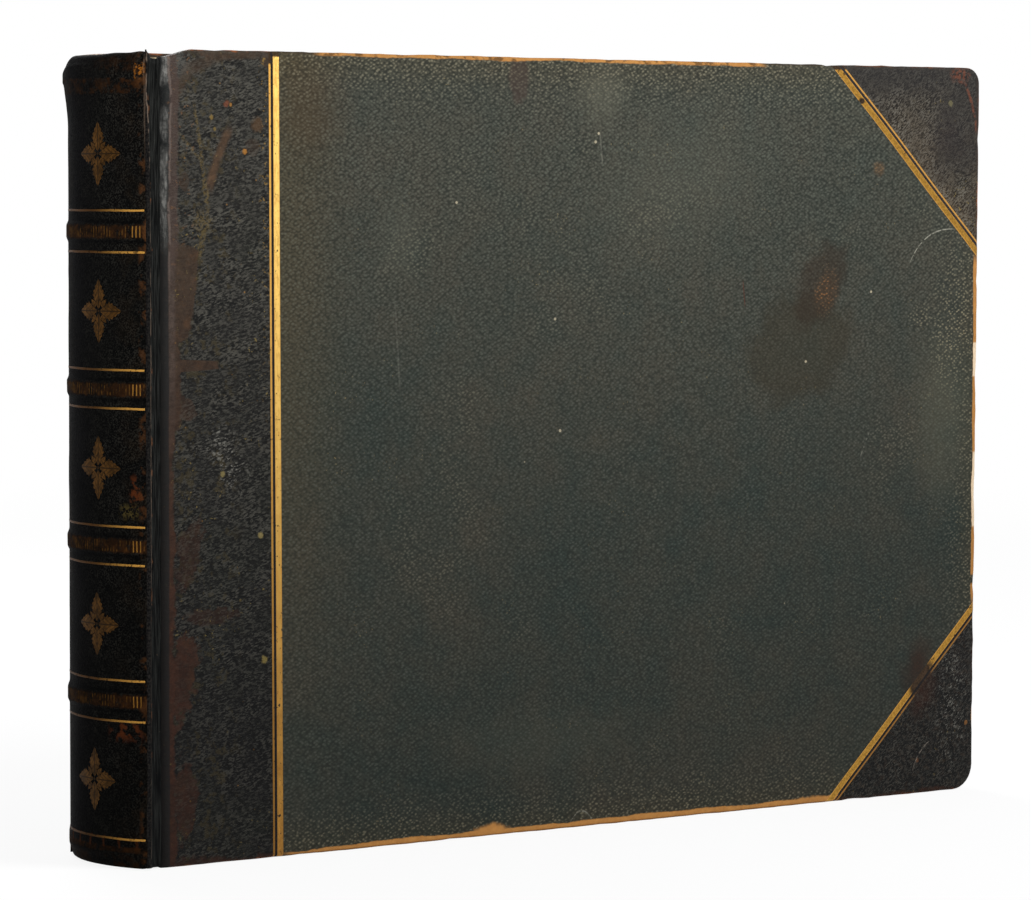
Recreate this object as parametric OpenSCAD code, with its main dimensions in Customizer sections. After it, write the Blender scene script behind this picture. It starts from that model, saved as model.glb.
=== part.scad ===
// Oblong photo album in a half leather binding: rounded spine with raised bands,
// cloth sides, leather corners, gilt fillets and stiff card leaves on linen hinges.
// It stands on its tail edge. X runs from the spine to the fore-edge, the front
// cover faces -Y, and the origin is the middle of the footprint. Millimetres.

/* [Covers] */
// Height of a cover, head to tail, over its covering
cover_height = 290; // [240:1:340]
// Width of a cover from the joint to the fore-edge, over its covering
cover_width = 386.8; // [320:0.1:440]
// Thickness of the millboard
board_thick = 3; // [2.4:0.1:4]
// Rounding of the two corners at the fore-edge
corner_round = 4; // [2:0.5:8]
// Thickness of the leather and cloth over the board
skin_thick = 0.6; // [0.4:0.1:1]
// Thickness of the covering where it is pared and turned in
turn_in_thick = 0.5; // [0.3:0.1:0.8]
// Width of the turned-in covering on the inner face
turn_in_width = 16; // [10:1:24]
// Thickness of the marbled paper pasted inside a cover
pastedown_thick = 0.25; // [0.2:0.05:0.4]
// Border of turned-in covering left showing round the pasted paper
pastedown_margin = 5; // [3:0.5:9]

/* [Leather and fillets] */
// Width of the leather that reaches from the joint onto a cover
leather_reach = 46.9; // [30:0.1:80]
// Leg of a corner leather along each edge
corner_leg = 73.2; // [40:0.1:90]
// Width of the fine gilt fillet, on the leather
fine_fillet = 1.05; // [0.6:0.05:1.6]
// Width of the broad gilt fillet, on the cloth
broad_fillet = 2.8; // [1.6:0.1:4]
// Bare gap between the two fillets
fillet_gap = 1; // [0.6:0.1:2]
// Thickness of the gilt
gilt_thick = 0.12; // [0.1:0.01:0.2]

/* [Spine] */
// How far the spine is rounded out behind the joints
spine_round = 7.4; // [6:0.1:12]
// How far the spine's edges are set in from the faces of the covers
spine_set_in = 0.5; // [0.3:0.1:1.5]
// Thickness of the spine leather
spine_leather_thick = 1.2; // [0.9:0.1:1.6]
// Thickness of the card that stiffens the spine
stiffener_thick = 1.4; // [1:0.1:2]
// Angle by which the stiffener stops short of each edge of the spine
stiffener_set_back = 2; // [1.5:0.5:4]
// Thickness of the cloth glued to the backs of the guards
lining_thick = 0.4; // [0.3:0.1:0.6]
// Thickness of the sewing tapes
tape_thick = 0.4; // [0.3:0.1:0.6]
// Width of a sewing tape
tape_width = 14; // [8:1:20]
// Width of a raised band
band_width = 6.5; // [5:0.1:9]
// Height of a raised band over the panels
band_rise = 0.9; // [0.6:0.1:2]
// Height of the lowest raised band's middle above the tail
first_band = 58.5; // [50:0.5:64]
// Depth of the highest raised band's middle below the head
last_band = 64.7; // [56:0.1:70]
// Width of the roll at head and tail
end_roll_width = 7; // [5:0.5:9]
// Height of the roll at head and tail over the panels
end_roll_rise = 0.5; // [0.3:0.1:0.9]
// Distance of each roll's middle from its end of the spine
end_roll_inset = 7; // [5:0.5:9]
// How far the leather is turned over the headband
cap_reach = 5; // [4:0.5:7]
// Thickness of the turned-over cap
cap_thick = 1; // [0.7:0.05:1.2]
// Rounding of the spine leather where it turns over at head and tail
cap_round = 1.1; // [0.6:0.1:1.4]
// Angle by which a cap stops short of each edge of the spine
cap_set_back = 3; // [2:0.5:6]
// Distance of a spine fillet from its band's middle
spine_fillet_offset = 7.4; // [6:0.1:9]
// Width of a spine fillet
spine_fillet = 1; // [0.6:0.1:1.4]
// Distance of the outermost spine fillets' middles from head and tail
end_fillet_inset = 12; // [11:0.5:13]
// Reach of a fleuron's leaves from its middle
fleuron_reach = 11.4; // [8:0.1:12]

/* [Joints] */
// Width of the groove between the spine and a cover
joint_width = 6.5; // [5.5:0.1:9]
// Depth of the groove below the spine's edges
joint_depth = 1.5; // [1.2:0.1:2]
// Thickness of the leather in the groove
joint_leather_thick = 0.7; // [0.5:0.1:1]
// Thickness of the cloth that lines the joint inside
inner_joint_thick = 0.3; // [0.2:0.05:0.4]

/* [Leaves] */
// Thickness of a card leaf
leaf_thick = 1.45; // [1.2:0.05:1.6]
// Gap between two closed leaves
leaf_gap = 0.36; // [0.3:0.02:0.5]
// How far the covers stand past the leaves at head, tail and fore-edge
square_width = 3; // [2:0.5:6]
// Distance from the spine's edge to the line on which the leaves hinge
hinge_line = 16.5; // [12:0.5:24]
// Width of the bare linen between a guard and its card
linen_width = 10; // [8:0.5:16]
// Depth to which the linen is let into the card
linen_tuck = 6; // [3:0.5:10]
// Thickness of the linen
linen_thick = 0.3; // [0.2:0.05:0.4]
// Paste line round the linen in its card
paste_gap = 0.05; // [0.03:0.01:0.1]
// Thickness of a guard
guard_thick = 1.6; // [1.4:0.05:1.7]
// Thickness of a flyleaf
flyleaf_thick = 0.25; // [0.2:0.05:0.4]
// Distance from the spine's edge to the line on which a flyleaf hinges
flyleaf_line = 4; // [3:0.5:6]

/* [Clearances] */
// Gap between pieces that move past each other
turn_gap = 0.3; // [0.25:0.05:0.5]
// Gap between curved layers of the spine
layer_gap = 0.1; // [0.05:0.05:0.2]

/* [Hidden] */

$fn = 96;
leaf_count = 24;
band_count = 4;
panel_count = band_count + 1;
root2 = sqrt(2);
// Facets across the groove of a joint, and round the edge of a cap
groove_steps = 12;
cap_steps = 5;
// Margin by which a cutting shape runs past the solid that it cuts
cut_over = 1;

// Thickness of the block of leaves, and the distances of the layers from the
// middle plane of the album, from the leaves outwards
leaf_pitch = leaf_thick + leaf_gap;
block_half = leaf_count * leaf_pitch / 2 - leaf_gap / 2;
flyleaf_y = block_half + turn_gap;
pastedown_y = flyleaf_y + flyleaf_thick + turn_gap;
turn_in_y = pastedown_y + pastedown_thick;
board_y = turn_in_y + turn_in_thick;
skin_y = board_y + board_thick;
half_thick = skin_y + skin_thick;

// Places along X
spine_edge_x = (spine_round + band_rise - joint_width - cover_width) / 2;
cover_x0 = spine_edge_x + joint_width;
fore_x = cover_x0 + cover_width;
leaf_axis_x = spine_edge_x + hinge_line;
card_x0 = leaf_axis_x + linen_width;
leaf_x1 = fore_x - square_width;
flyleaf_x0 = spine_edge_x + flyleaf_line;
fillet_x = cover_x0 + leather_reach;

// Places along Z
band_pitch = (cover_height - first_band - last_band) / (band_count - 1);
leaf_z0 = square_width;
leaf_z1 = cover_height - square_width;
head_roll_z = cover_height - end_roll_inset;

// The spine is an arc through both spine edges
spine_half_chord = half_thick - spine_set_in;
spine_r = (pow(spine_half_chord, 2) + pow(spine_round, 2)) / (2 * spine_round);
spine_x = spine_edge_x - spine_round + spine_r;
spine_angle = asin(spine_half_chord / spine_r);
leather_in_r = spine_r - spine_leather_thick;
stiffener_r = leather_in_r - layer_gap;
stiffener_in_r = stiffener_r - stiffener_thick;
lining_r = stiffener_in_r - turn_gap;
lining_in_r = lining_r - lining_thick;
tape_r = lining_in_r - layer_gap;
guard_r = tape_r - tape_thick - layer_gap;
lining_angle = asin(block_half / lining_r);
stiffener_angle = spine_angle - stiffener_set_back;
// The headbands fill the height between the leaves and the turned-over caps
headband_r = (square_width - cap_thick) / 2 - layer_gap;
headband_angle = asin((block_half - headband_r) / lining_r);

function band_z(i) = first_band + i * band_pitch;
function panel_z(i) = first_band + (i - 0.5) * band_pitch;
function leaf_y(i) = -block_half + leaf_thick / 2 + (i - 1) * leaf_pitch;
function arc_points(r, a0, a1, steps) =
    [for (i = [0:steps]) r * [cos(a0 + (a1 - a0) * i / steps), sin(a0 + (a1 - a0) * i / steps)]];
function shifted(points, by) = [for (p = points) p + by];
function reversed(points) = [for (i = [len(points) - 1:-1:0]) points[i]];

// An outline drawn in X and Z, made solid between two distances from the middle plane
module front_slab(inner_y, outer_y) {
    translate([0, -inner_y, 0]) rotate([90, 0, 0]) linear_extrude(outer_y - inner_y) children();
}

// The back of the album mirrors the front
module to_back() {
    mirror([0, 1, 0]) children();
}

// Outline of a cover, drawn in by an inset, square at the joint and round at the fore-edge
module cover_outline(inset) {
    r = corner_round - inset;
    width = cover_width - 2 * inset;
    height = cover_height - 2 * inset;
    translate([cover_x0 + inset, inset]) {
        square([width - r, height]);
        translate([0, r]) square([width, height - 2 * r]);
        for (z = [r, height - r]) translate([width - r, z]) circle(r);
    }
}

// A vertical stripe over the cover between two distances from the joint
module stripe(from, to) {
    translate([cover_x0 + from, -cut_over])
        square([to - from, cover_height + 2 * cut_over]);
}

// The corner triangle at the head, with its legs along the edges
module corner_triangle(leg) {
    far = leg + cut_over;
    polygon([[fore_x - far, cover_height + cut_over], [fore_x + cut_over, cover_height - far],
        [fore_x + cut_over, cover_height + cut_over]]);
}

module at_both_corners() {
    children();
    translate([0, cover_height]) mirror([0, 1]) children();
}

// The two gilt fillets beside the leather and across each corner
module fillets_2d() {
    half_gap = fillet_gap / 2;
    fine_to = half_gap + fine_fillet;
    broad_to = half_gap + broad_fillet;
    intersection() {
        cover_outline(0);
        union() {
            stripe(leather_reach - fine_to, leather_reach - half_gap);
            stripe(leather_reach + half_gap, leather_reach + broad_to);
            at_both_corners() difference() {
                corner_triangle(corner_leg - root2 * half_gap);
                corner_triangle(corner_leg - root2 * fine_to);
            }
            at_both_corners() difference() {
                corner_triangle(corner_leg + root2 * broad_to);
                corner_triangle(corner_leg + root2 * half_gap);
            }
        }
    }
}

module fillets() {
    front_slab(half_thick - gilt_thick, half_thick) fillets_2d();
}

// Inner face of a cover that the turned-in covering leaves open
module turn_in_window() {
    translate([cover_x0 + skin_thick, turn_in_width])
        square([cover_width - skin_thick - turn_in_width, cover_height - 2 * turn_in_width]);
}

// The whole covering of a cover: outer face, edges and turned-in border, less the board
module covering() {
    difference() {
        front_slab(turn_in_y, half_thick) cover_outline(0);
        front_slab(board_y, skin_y) cover_outline(skin_thick);
        front_slab(turn_in_y - cut_over, board_y) turn_in_window();
        fillets();
    }
}

module covering_piece() {
    intersection() {
        covering();
        front_slab(turn_in_y - cut_over, half_thick + cut_over) children();
    }
}

module front_board() color([0.62, 0.47, 0.29]) {
    front_slab(board_y, skin_y) cover_outline(skin_thick);
}

module front_cloth_side() color([0.2, 0.24, 0.22]) {
    covering_piece() difference() {
        stripe(leather_reach, cover_width + cut_over);
        at_both_corners() corner_triangle(corner_leg);
    }
}

module front_leather() color([0.13, 0.13, 0.12]) {
    covering_piece() stripe(-cut_over, leather_reach);
}

module front_corner_head() color([0.13, 0.13, 0.12]) {
    covering_piece() corner_triangle(corner_leg);
}

module front_corner_tail() color([0.13, 0.13, 0.12]) {
    covering_piece() translate([0, cover_height]) mirror([0, 1]) corner_triangle(corner_leg);
}

module front_gilt_fillets() color([0.8, 0.6, 0.25]) fillets();

// The pasted paper laps the turned-in border, and fills the window inside it
module front_pastedown() color([0.55, 0.3, 0.25]) {
    front_slab(turn_in_y, board_y) turn_in_window();
    front_slab(pastedown_y, turn_in_y) translate([cover_x0 + skin_thick, pastedown_margin])
        square([cover_width - skin_thick - pastedown_margin, cover_height - 2 * pastedown_margin]);
}

// A hollow of leather from the spine's edge to the edge of the cover
module front_joint_leather() color([0.12, 0.12, 0.11]) {
    start = [spine_x - leather_in_r * cos(spine_angle) + layer_gap, leather_in_r * sin(spine_angle)];
    half_width = (cover_x0 - turn_gap - start[0]) / 2;
    sag = joint_depth - (spine_half_chord - start[1]);
    r = (pow(half_width, 2) + pow(sag, 2)) / (2 * sag);
    angle = asin(half_width / r);
    middle = [start[0] + half_width, -start[1] + sag - r];
    linear_extrude(cover_height) intersection() {
        polygon(concat(
            shifted(arc_points(r, 90 + angle, 90 - angle, groove_steps), middle),
            shifted(arc_points(r + joint_leather_thick, 90 - angle, 90 + angle, groove_steps), middle)));
        translate([start[0], -half_thick]) square([2 * half_width, half_thick]);
    }
}

// A strip of cloth from the first guard to the inner edge of the board
module front_inner_joint() color([0.45, 0.4, 0.32]) {
    guard_face_y = -leaf_y(1) + guard_thick / 2 + layer_gap;
    board_edge_y = turn_in_y + turn_in_thick / 2;
    half = inner_joint_thick / 2;
    start_x = spine_edge_x + joint_leather_thick + spine_leather_thick;
    end_x = cover_x0 - turn_gap;
    translate([0, 0, leaf_z0]) linear_extrude(leaf_z1 - leaf_z0) polygon([
        [start_x, -guard_face_y - 2 * half], [end_x, -board_edge_y - half],
        [end_x, -board_edge_y + half], [start_x, -guard_face_y]]);
}

module front_flyleaf() color([0.8, 0.7, 0.55]) {
    front_slab(flyleaf_y, flyleaf_y + flyleaf_thick) translate([flyleaf_x0, leaf_z0])
        square([leaf_x1 - flyleaf_x0, leaf_z1 - leaf_z0]);
}

module back_board() color([0.62, 0.47, 0.29]) to_back() front_board();
module back_cloth_side() color([0.2, 0.24, 0.22]) to_back() front_cloth_side();
module back_leather() color([0.13, 0.13, 0.12]) to_back() front_leather();
module back_corner_head() color([0.13, 0.13, 0.12]) to_back() front_corner_head();
module back_corner_tail() color([0.13, 0.13, 0.12]) to_back() front_corner_tail();
module back_gilt_fillets() color([0.8, 0.6, 0.25]) to_back() front_gilt_fillets();
module back_pastedown() color([0.55, 0.3, 0.25]) to_back() front_pastedown();
module back_joint_leather() color([0.12, 0.12, 0.11]) to_back() front_joint_leather();
module back_inner_joint() color([0.45, 0.4, 0.32]) to_back() front_inner_joint();
module back_flyleaf() color([0.8, 0.7, 0.55]) to_back() front_flyleaf();

// A profile in radius and height, turned about the spine's centre line to each side
module round_spine(angle) {
    translate([spine_x, 0, 0]) rotate([0, 0, 180 - angle]) rotate_extrude(angle = 2 * angle) children();
}

module spine_ring(inner_r, outer_r, angle, z0, z1) {
    round_spine(angle) translate([inner_r, z0]) square([outer_r - inner_r, z1 - z0]);
}

// Half of a ridge's profile slopes up to its flat top, as heights beside its middle
function ridge(r, z, width, rise) = [[r, z - width / 2], [r + rise, z - width / 2 + rise],
    [r + rise, z + width / 2 - rise], [r, z + width / 2]];
function ridges(r, grow) = concat(
    ridge(r, end_roll_inset, end_roll_width - grow, end_roll_rise),
    [for (i = [0:band_count - 1]) each ridge(r, band_z(i), band_width - grow, band_rise)],
    ridge(r, head_roll_z, end_roll_width - grow, end_roll_rise));

// One skin of leather over bands and rolls, turned over at head and tail
module spine_leather() color([0.13, 0.13, 0.12]) {
    outline = ridges(spine_r, 0);
    inside = reversed(ridges(leather_in_r, spine_leather_thick));
    edge_r = min(cap_round, spine_leather_thick - layer_gap);
    arc_r = spine_r - edge_r;
    seam_r = leather_in_r + spine_leather_thick / 2;
    round_spine(spine_angle) polygon(concat([[leather_in_r, 0]],
        shifted(arc_points(edge_r, 270, 360, cap_steps), [arc_r, edge_r]), outline,
        shifted(arc_points(edge_r, 0, 90, cap_steps), [arc_r, cover_height - edge_r]),
        [[leather_in_r, cover_height]], inside));
    for (z = [0, cover_height - cap_thick])
        spine_ring(leather_in_r - cap_reach, seam_r, spine_angle - cap_set_back, z, z + cap_thick);
}

// The bands and rolls that raise the leather, each on the stiffener
module band_core(z, width, rise) {
    round_spine(stiffener_angle) polygon(ridge(stiffener_r + layer_gap / 2, z,
        width - spine_leather_thick - 2 * layer_gap, rise));
}

module raised_bands() color([0.5, 0.38, 0.25]) {
    for (i = [0:band_count - 1]) band_core(band_z(i), band_width, band_rise);
    for (z = [end_roll_inset, head_roll_z]) band_core(z, end_roll_width, end_roll_rise);
}

module petal_2d() {
    side = [[0.14, 0.3], [0.11, 0.4], [0.25, 0.47], [0.2, 0.56], [0.29, 0.65], [0.2, 0.73],
        [0.18, 0.83], [0.08, 0.86]];
    polygon(fleuron_reach * concat([[0, 0.18]], side, [[0, 1]],
        [for (p = reversed(side)) [-p[0], p[1]]]));
}

// Four serrated leaves with a spike between each two, round a dot
module fleuron_2d() {
    for (a = [0:90:270]) rotate(a) {
        petal_2d();
        rotate(45) polygon(fleuron_reach * [[-0.05, 0.26], [0.05, 0.26], [0, 0.6]]);
    }
    circle(fleuron_reach * 0.1);
}

// Gilt lines beside the bands and near head and tail, and a fleuron in each panel
module spine_gilt_tooling() color([0.8, 0.6, 0.25]) {
    outer_r = spine_r + gilt_thick;
    lines = concat([end_fillet_inset, cover_height - end_fillet_inset],
        [for (i = [0:band_count - 1]) for (s = [-1, 1]) band_z(i) + s * spine_fillet_offset]);
    for (z = lines)
        spine_ring(spine_r, outer_r, spine_angle, z - spine_fillet / 2, z + spine_fillet / 2);
    intersection() {
        spine_ring(spine_r, outer_r, spine_angle, 0, cover_height);
        for (i = [0:panel_count - 1])
            translate([spine_x - outer_r - cut_over, 0, panel_z(i)]) rotate([90, 0, 90])
                linear_extrude(spine_round) fleuron_2d();
    }
}

module spine_stiffener() color([0.66, 0.58, 0.44]) {
    spine_ring(stiffener_in_r, stiffener_r, stiffener_angle, cap_thick + layer_gap,
        cover_height - cap_thick - layer_gap);
}

module spine_lining() color([0.75, 0.7, 0.58]) {
    spine_ring(lining_in_r, lining_r, lining_angle, leaf_z0, leaf_z1);
}

module sewing_tapes() color([0.82, 0.78, 0.66]) {
    for (i = [0:band_count - 1])
        spine_ring(tape_r - tape_thick, tape_r, lining_angle, band_z(i) - tape_width / 2,
            band_z(i) + tape_width / 2);
}

// A worked roll that follows the rounded back of the guards
module end_band(z) {
    round_spine(headband_angle) translate([lining_in_r - headband_r, z]) circle(headband_r);
}

module headband() color([0.7, 0.35, 0.25]) end_band(leaf_z1 + headband_r + layer_gap);
module tailband() color([0.7, 0.35, 0.25]) end_band(leaf_z0 - headband_r - layer_gap);

// The stubs on which the leaves hinge, rounded to the back of the block
module leaf_guards() color([0.85, 0.8, 0.68]) {
    intersection() {
        translate([spine_x, 0, 0]) cylinder(h = cover_height, r = guard_r);
        for (i = [1:leaf_count])
            translate([spine_x - guard_r, leaf_y(i) - guard_thick / 2, leaf_z0])
                cube([leaf_axis_x - turn_gap - spine_x + guard_r, guard_thick, leaf_z1 - leaf_z0]);
    }
}

// A stiff card with its linen let into the middle of its inner edge
module leaf(i) color([0.86, 0.81, 0.69]) {
    height = leaf_z1 - leaf_z0;
    translate([0, leaf_y(i), leaf_z0]) {
        slot = linen_thick + 2 * paste_gap;
        difference() {
            translate([card_x0, -leaf_thick / 2, 0]) cube([leaf_x1 - card_x0, leaf_thick, height]);
            translate([card_x0 - cut_over, -slot / 2, -cut_over])
                cube([linen_tuck + paste_gap + cut_over, slot, height + 2 * cut_over]);
        }
        translate([leaf_axis_x, -linen_thick / 2, 0])
            cube([linen_width + linen_tuck, linen_thick, height]);
    }
}

front_board();
front_cloth_side();
front_leather();
front_corner_head();
front_corner_tail();
front_gilt_fillets();
front_pastedown();
front_joint_leather();
front_inner_joint();
front_flyleaf();
back_board();
back_cloth_side();
back_leather();
back_corner_head();
back_corner_tail();
back_gilt_fillets();
back_pastedown();
back_joint_leather();
back_inner_joint();
back_flyleaf();
spine_leather();
raised_bands();
spine_gilt_tooling();
spine_stiffener();
spine_lining();
sewing_tapes();
headband();
tailband();
leaf_guards();
leaf(1);  // leaf_01
leaf(2);  // leaf_02
leaf(3);  // leaf_03
leaf(4);  // leaf_04
leaf(5);  // leaf_05
leaf(6);  // leaf_06
leaf(7);  // leaf_07
leaf(8);  // leaf_08
leaf(9);  // leaf_09
leaf(10);  // leaf_10
leaf(11);  // leaf_11
leaf(12);  // leaf_12
leaf(13);  // leaf_13
leaf(14);  // leaf_14
leaf(15);  // leaf_15
leaf(16);  // leaf_16
leaf(17);  // leaf_17
leaf(18);  // leaf_18
leaf(19);  // leaf_19
leaf(20);  // leaf_20
leaf(21);  // leaf_21
leaf(22);  // leaf_22
leaf(23);  // leaf_23
leaf(24);  // leaf_24
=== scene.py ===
"""Looks of an oblong photo album in a half leather binding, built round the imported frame.

Lengths are millimetres, apart from those of the stage, the camera and the places where a blend
starts and ends, which are metres. Meshes are made in metres from lists in millimetres.
"""

import math

import bmesh
import bpy
from mathutils import Matrix, Vector, noise


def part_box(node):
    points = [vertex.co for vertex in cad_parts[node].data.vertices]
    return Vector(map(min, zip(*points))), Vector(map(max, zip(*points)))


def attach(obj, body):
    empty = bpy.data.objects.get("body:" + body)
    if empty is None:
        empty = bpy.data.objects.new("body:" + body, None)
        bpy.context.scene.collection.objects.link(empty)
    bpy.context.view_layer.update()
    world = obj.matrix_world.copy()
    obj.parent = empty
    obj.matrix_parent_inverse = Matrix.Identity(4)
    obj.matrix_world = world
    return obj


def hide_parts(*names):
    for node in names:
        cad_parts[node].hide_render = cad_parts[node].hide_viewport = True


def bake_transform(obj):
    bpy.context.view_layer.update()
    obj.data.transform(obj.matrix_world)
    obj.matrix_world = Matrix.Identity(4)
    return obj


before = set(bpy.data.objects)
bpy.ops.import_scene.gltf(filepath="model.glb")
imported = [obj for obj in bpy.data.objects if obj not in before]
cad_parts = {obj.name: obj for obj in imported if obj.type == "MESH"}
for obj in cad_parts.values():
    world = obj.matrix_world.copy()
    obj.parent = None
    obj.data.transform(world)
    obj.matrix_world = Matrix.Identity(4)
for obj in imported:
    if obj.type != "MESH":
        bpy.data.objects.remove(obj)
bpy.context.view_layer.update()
MM = 0.001

# Sizes of the album, as in the part's source
HEIGHT = 290
MIDDLE = HEIGHT / 2
COVER_X0, FORE_X = -186, 200.8
COVER_WIDTH = FORE_X - COVER_X0
HALF_THICK, TURN_IN_Y, PASTEDOWN_Y = 26.74, 22.64, 22.39
# Corner rounding of a cover at its tail and head; the front one is worn rounder at the tail
FRONT_CORNERS, BACK_CORNERS = (10, 6.5), (7.5, 6)
BOARD_FACES = (-26, -23.14)
# How far the covering is turned in over the inner face
TURN_IN = 15
LEATHER_REACH, CORNER_LEG = 47.2, 73.2
# Gilt lines by their distance inside a seam: the fine one on the leather, the broad one on the cloth
STRIP_FINE, CORNER_FINE = (0.45, 1.25), (0.8, 1.48)
BROAD = (-0.45, -3)
# How far a corner seam reaches along the head or tail beyond the fore-edge, and falls short down it
SEAM_TURN = (1.2, 1)
# How far from its end a seam's turn fades out
SEAM_FADE = 45
SPINE_X, SPINE_R, SPINE_ANGLE = -149.677, 50.2228, 31.498
BANDS = (59.5, 114.6, 169.9, 225.6)
BAND_LINES = (10.4, 52.3, 66.8, 107.8, 121.4, 163.2, 176.8, 218.4, 233.1)
PANELS = (30.7, 86.3, 141.9, 197.5, 253.1)
# How far the hand-placed fleuron of each panel sits from the middle of the spine, towards the front
FLEURON_SHIFTS = (2.9, 4.6, 5.7, 6, 5.9)
BAND_RISE, ROLL_RISE, ROLL_Z = 0.9, 0.5, 7
LINE_WIDTH = 0.75
FLEURON_REACH = 11.4
LEAF_COUNT, LEAF_PITCH, LEAF_THICK = 24, 1.81, 1.45
LEAF_Z0, LEAF_Z1, LEAF_X1 = 3, 287, 197.8
LEAF_AXIS_X, CARD_X0 = -176, -166
FLYLEAF_X0, FLYLEAF_Y, FLYLEAF_THICK = -188.5, 21.84, 0.25
ROOT2 = math.sqrt(2)


def leaf_y(i):
    return (i - (LEAF_COUNT + 1) / 2) * LEAF_PITCH


def smooth(a, b, x):
    t = min(1, max(0, (x - a) / (b - a)))
    return t * t * (3 - 2 * t)


def wobble(x, y, z, size):
    """A steady wavy number from -1 to 1 that changes over about size mm."""
    return noise.noise(Vector((x / size, y / size, z / size + 7.3)))


def rgb(r, g, b):
    """A colour as seen on screen, 0 to 255, as the linear colour that nodes take."""
    parts = (r / 255, g / 255, b / 255)
    return (*(c / 12.92 if c <= 0.04045 else ((c + 0.055) / 1.055) ** 2.4 for c in parts), 1)


def operator(operation):
    """A method that joins a field to another one, or to a number, by a node's operation."""
    return lambda field, other: field.op(operation, other)


class Field:
    """A number that varies over a surface, kept as the output of a node."""

    __add__ = __radd__ = operator("ADD")
    __mul__ = __rmul__ = operator("MULTIPLY")
    __sub__ = operator("SUBTRACT")
    __truediv__ = operator("DIVIDE")
    least = operator("MINIMUM")

    def __init__(self, look, socket):
        self.look, self.socket = look, socket

    def __rsub__(self, other):
        return self * -1 + other

    def op(self, operation, *others, clamp=False):
        node = self.look.node("ShaderNodeMath", operation=operation, use_clamp=clamp)
        for socket, value in zip(node.inputs, (self, *others)):
            self.look.put(socket, value)
        return Field(self.look, node.outputs[0])

    def abs(self):
        return self.op("ABSOLUTE")

    def most(self, *others):
        """The greatest of this field and others at each place."""
        for other in others:
            self = self.op("MAXIMUM", other)
        return self

    def step(self, a, b):
        """0 at a and 1 at b, smooth between them."""
        node = self.look.node("ShaderNodeMapRange", interpolation_type="SMOOTHSTEP")
        for name, value in (("Value", self), ("From Min", a), ("From Max", b)):
            self.look.put(node.inputs[name], value)
        return Field(self.look, node.outputs[0])

    def window(self, a, b, soft):
        """1 between a and b, and 0 outside them."""
        return self.step(a - soft, a + soft) * self.step(b + soft, b - soft)


class Tree:
    """A node tree with short ways to add nodes and to fill their sockets."""

    def __init__(self, tree):
        self.tree = tree

    def node(self, kind, **settings):
        node = self.tree.nodes.new(kind)
        for name, value in settings.items():
            setattr(node, name, value)
        return node

    def put(self, socket, value):
        """Fills a socket from a field, an output, a number or a screen colour."""
        if isinstance(value, Field):
            value = value.socket
        if isinstance(value, bpy.types.NodeSocket):
            self.tree.links.new(value, socket)
        else:
            socket.default_value = rgb(*value) if isinstance(value, tuple) else value


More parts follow.
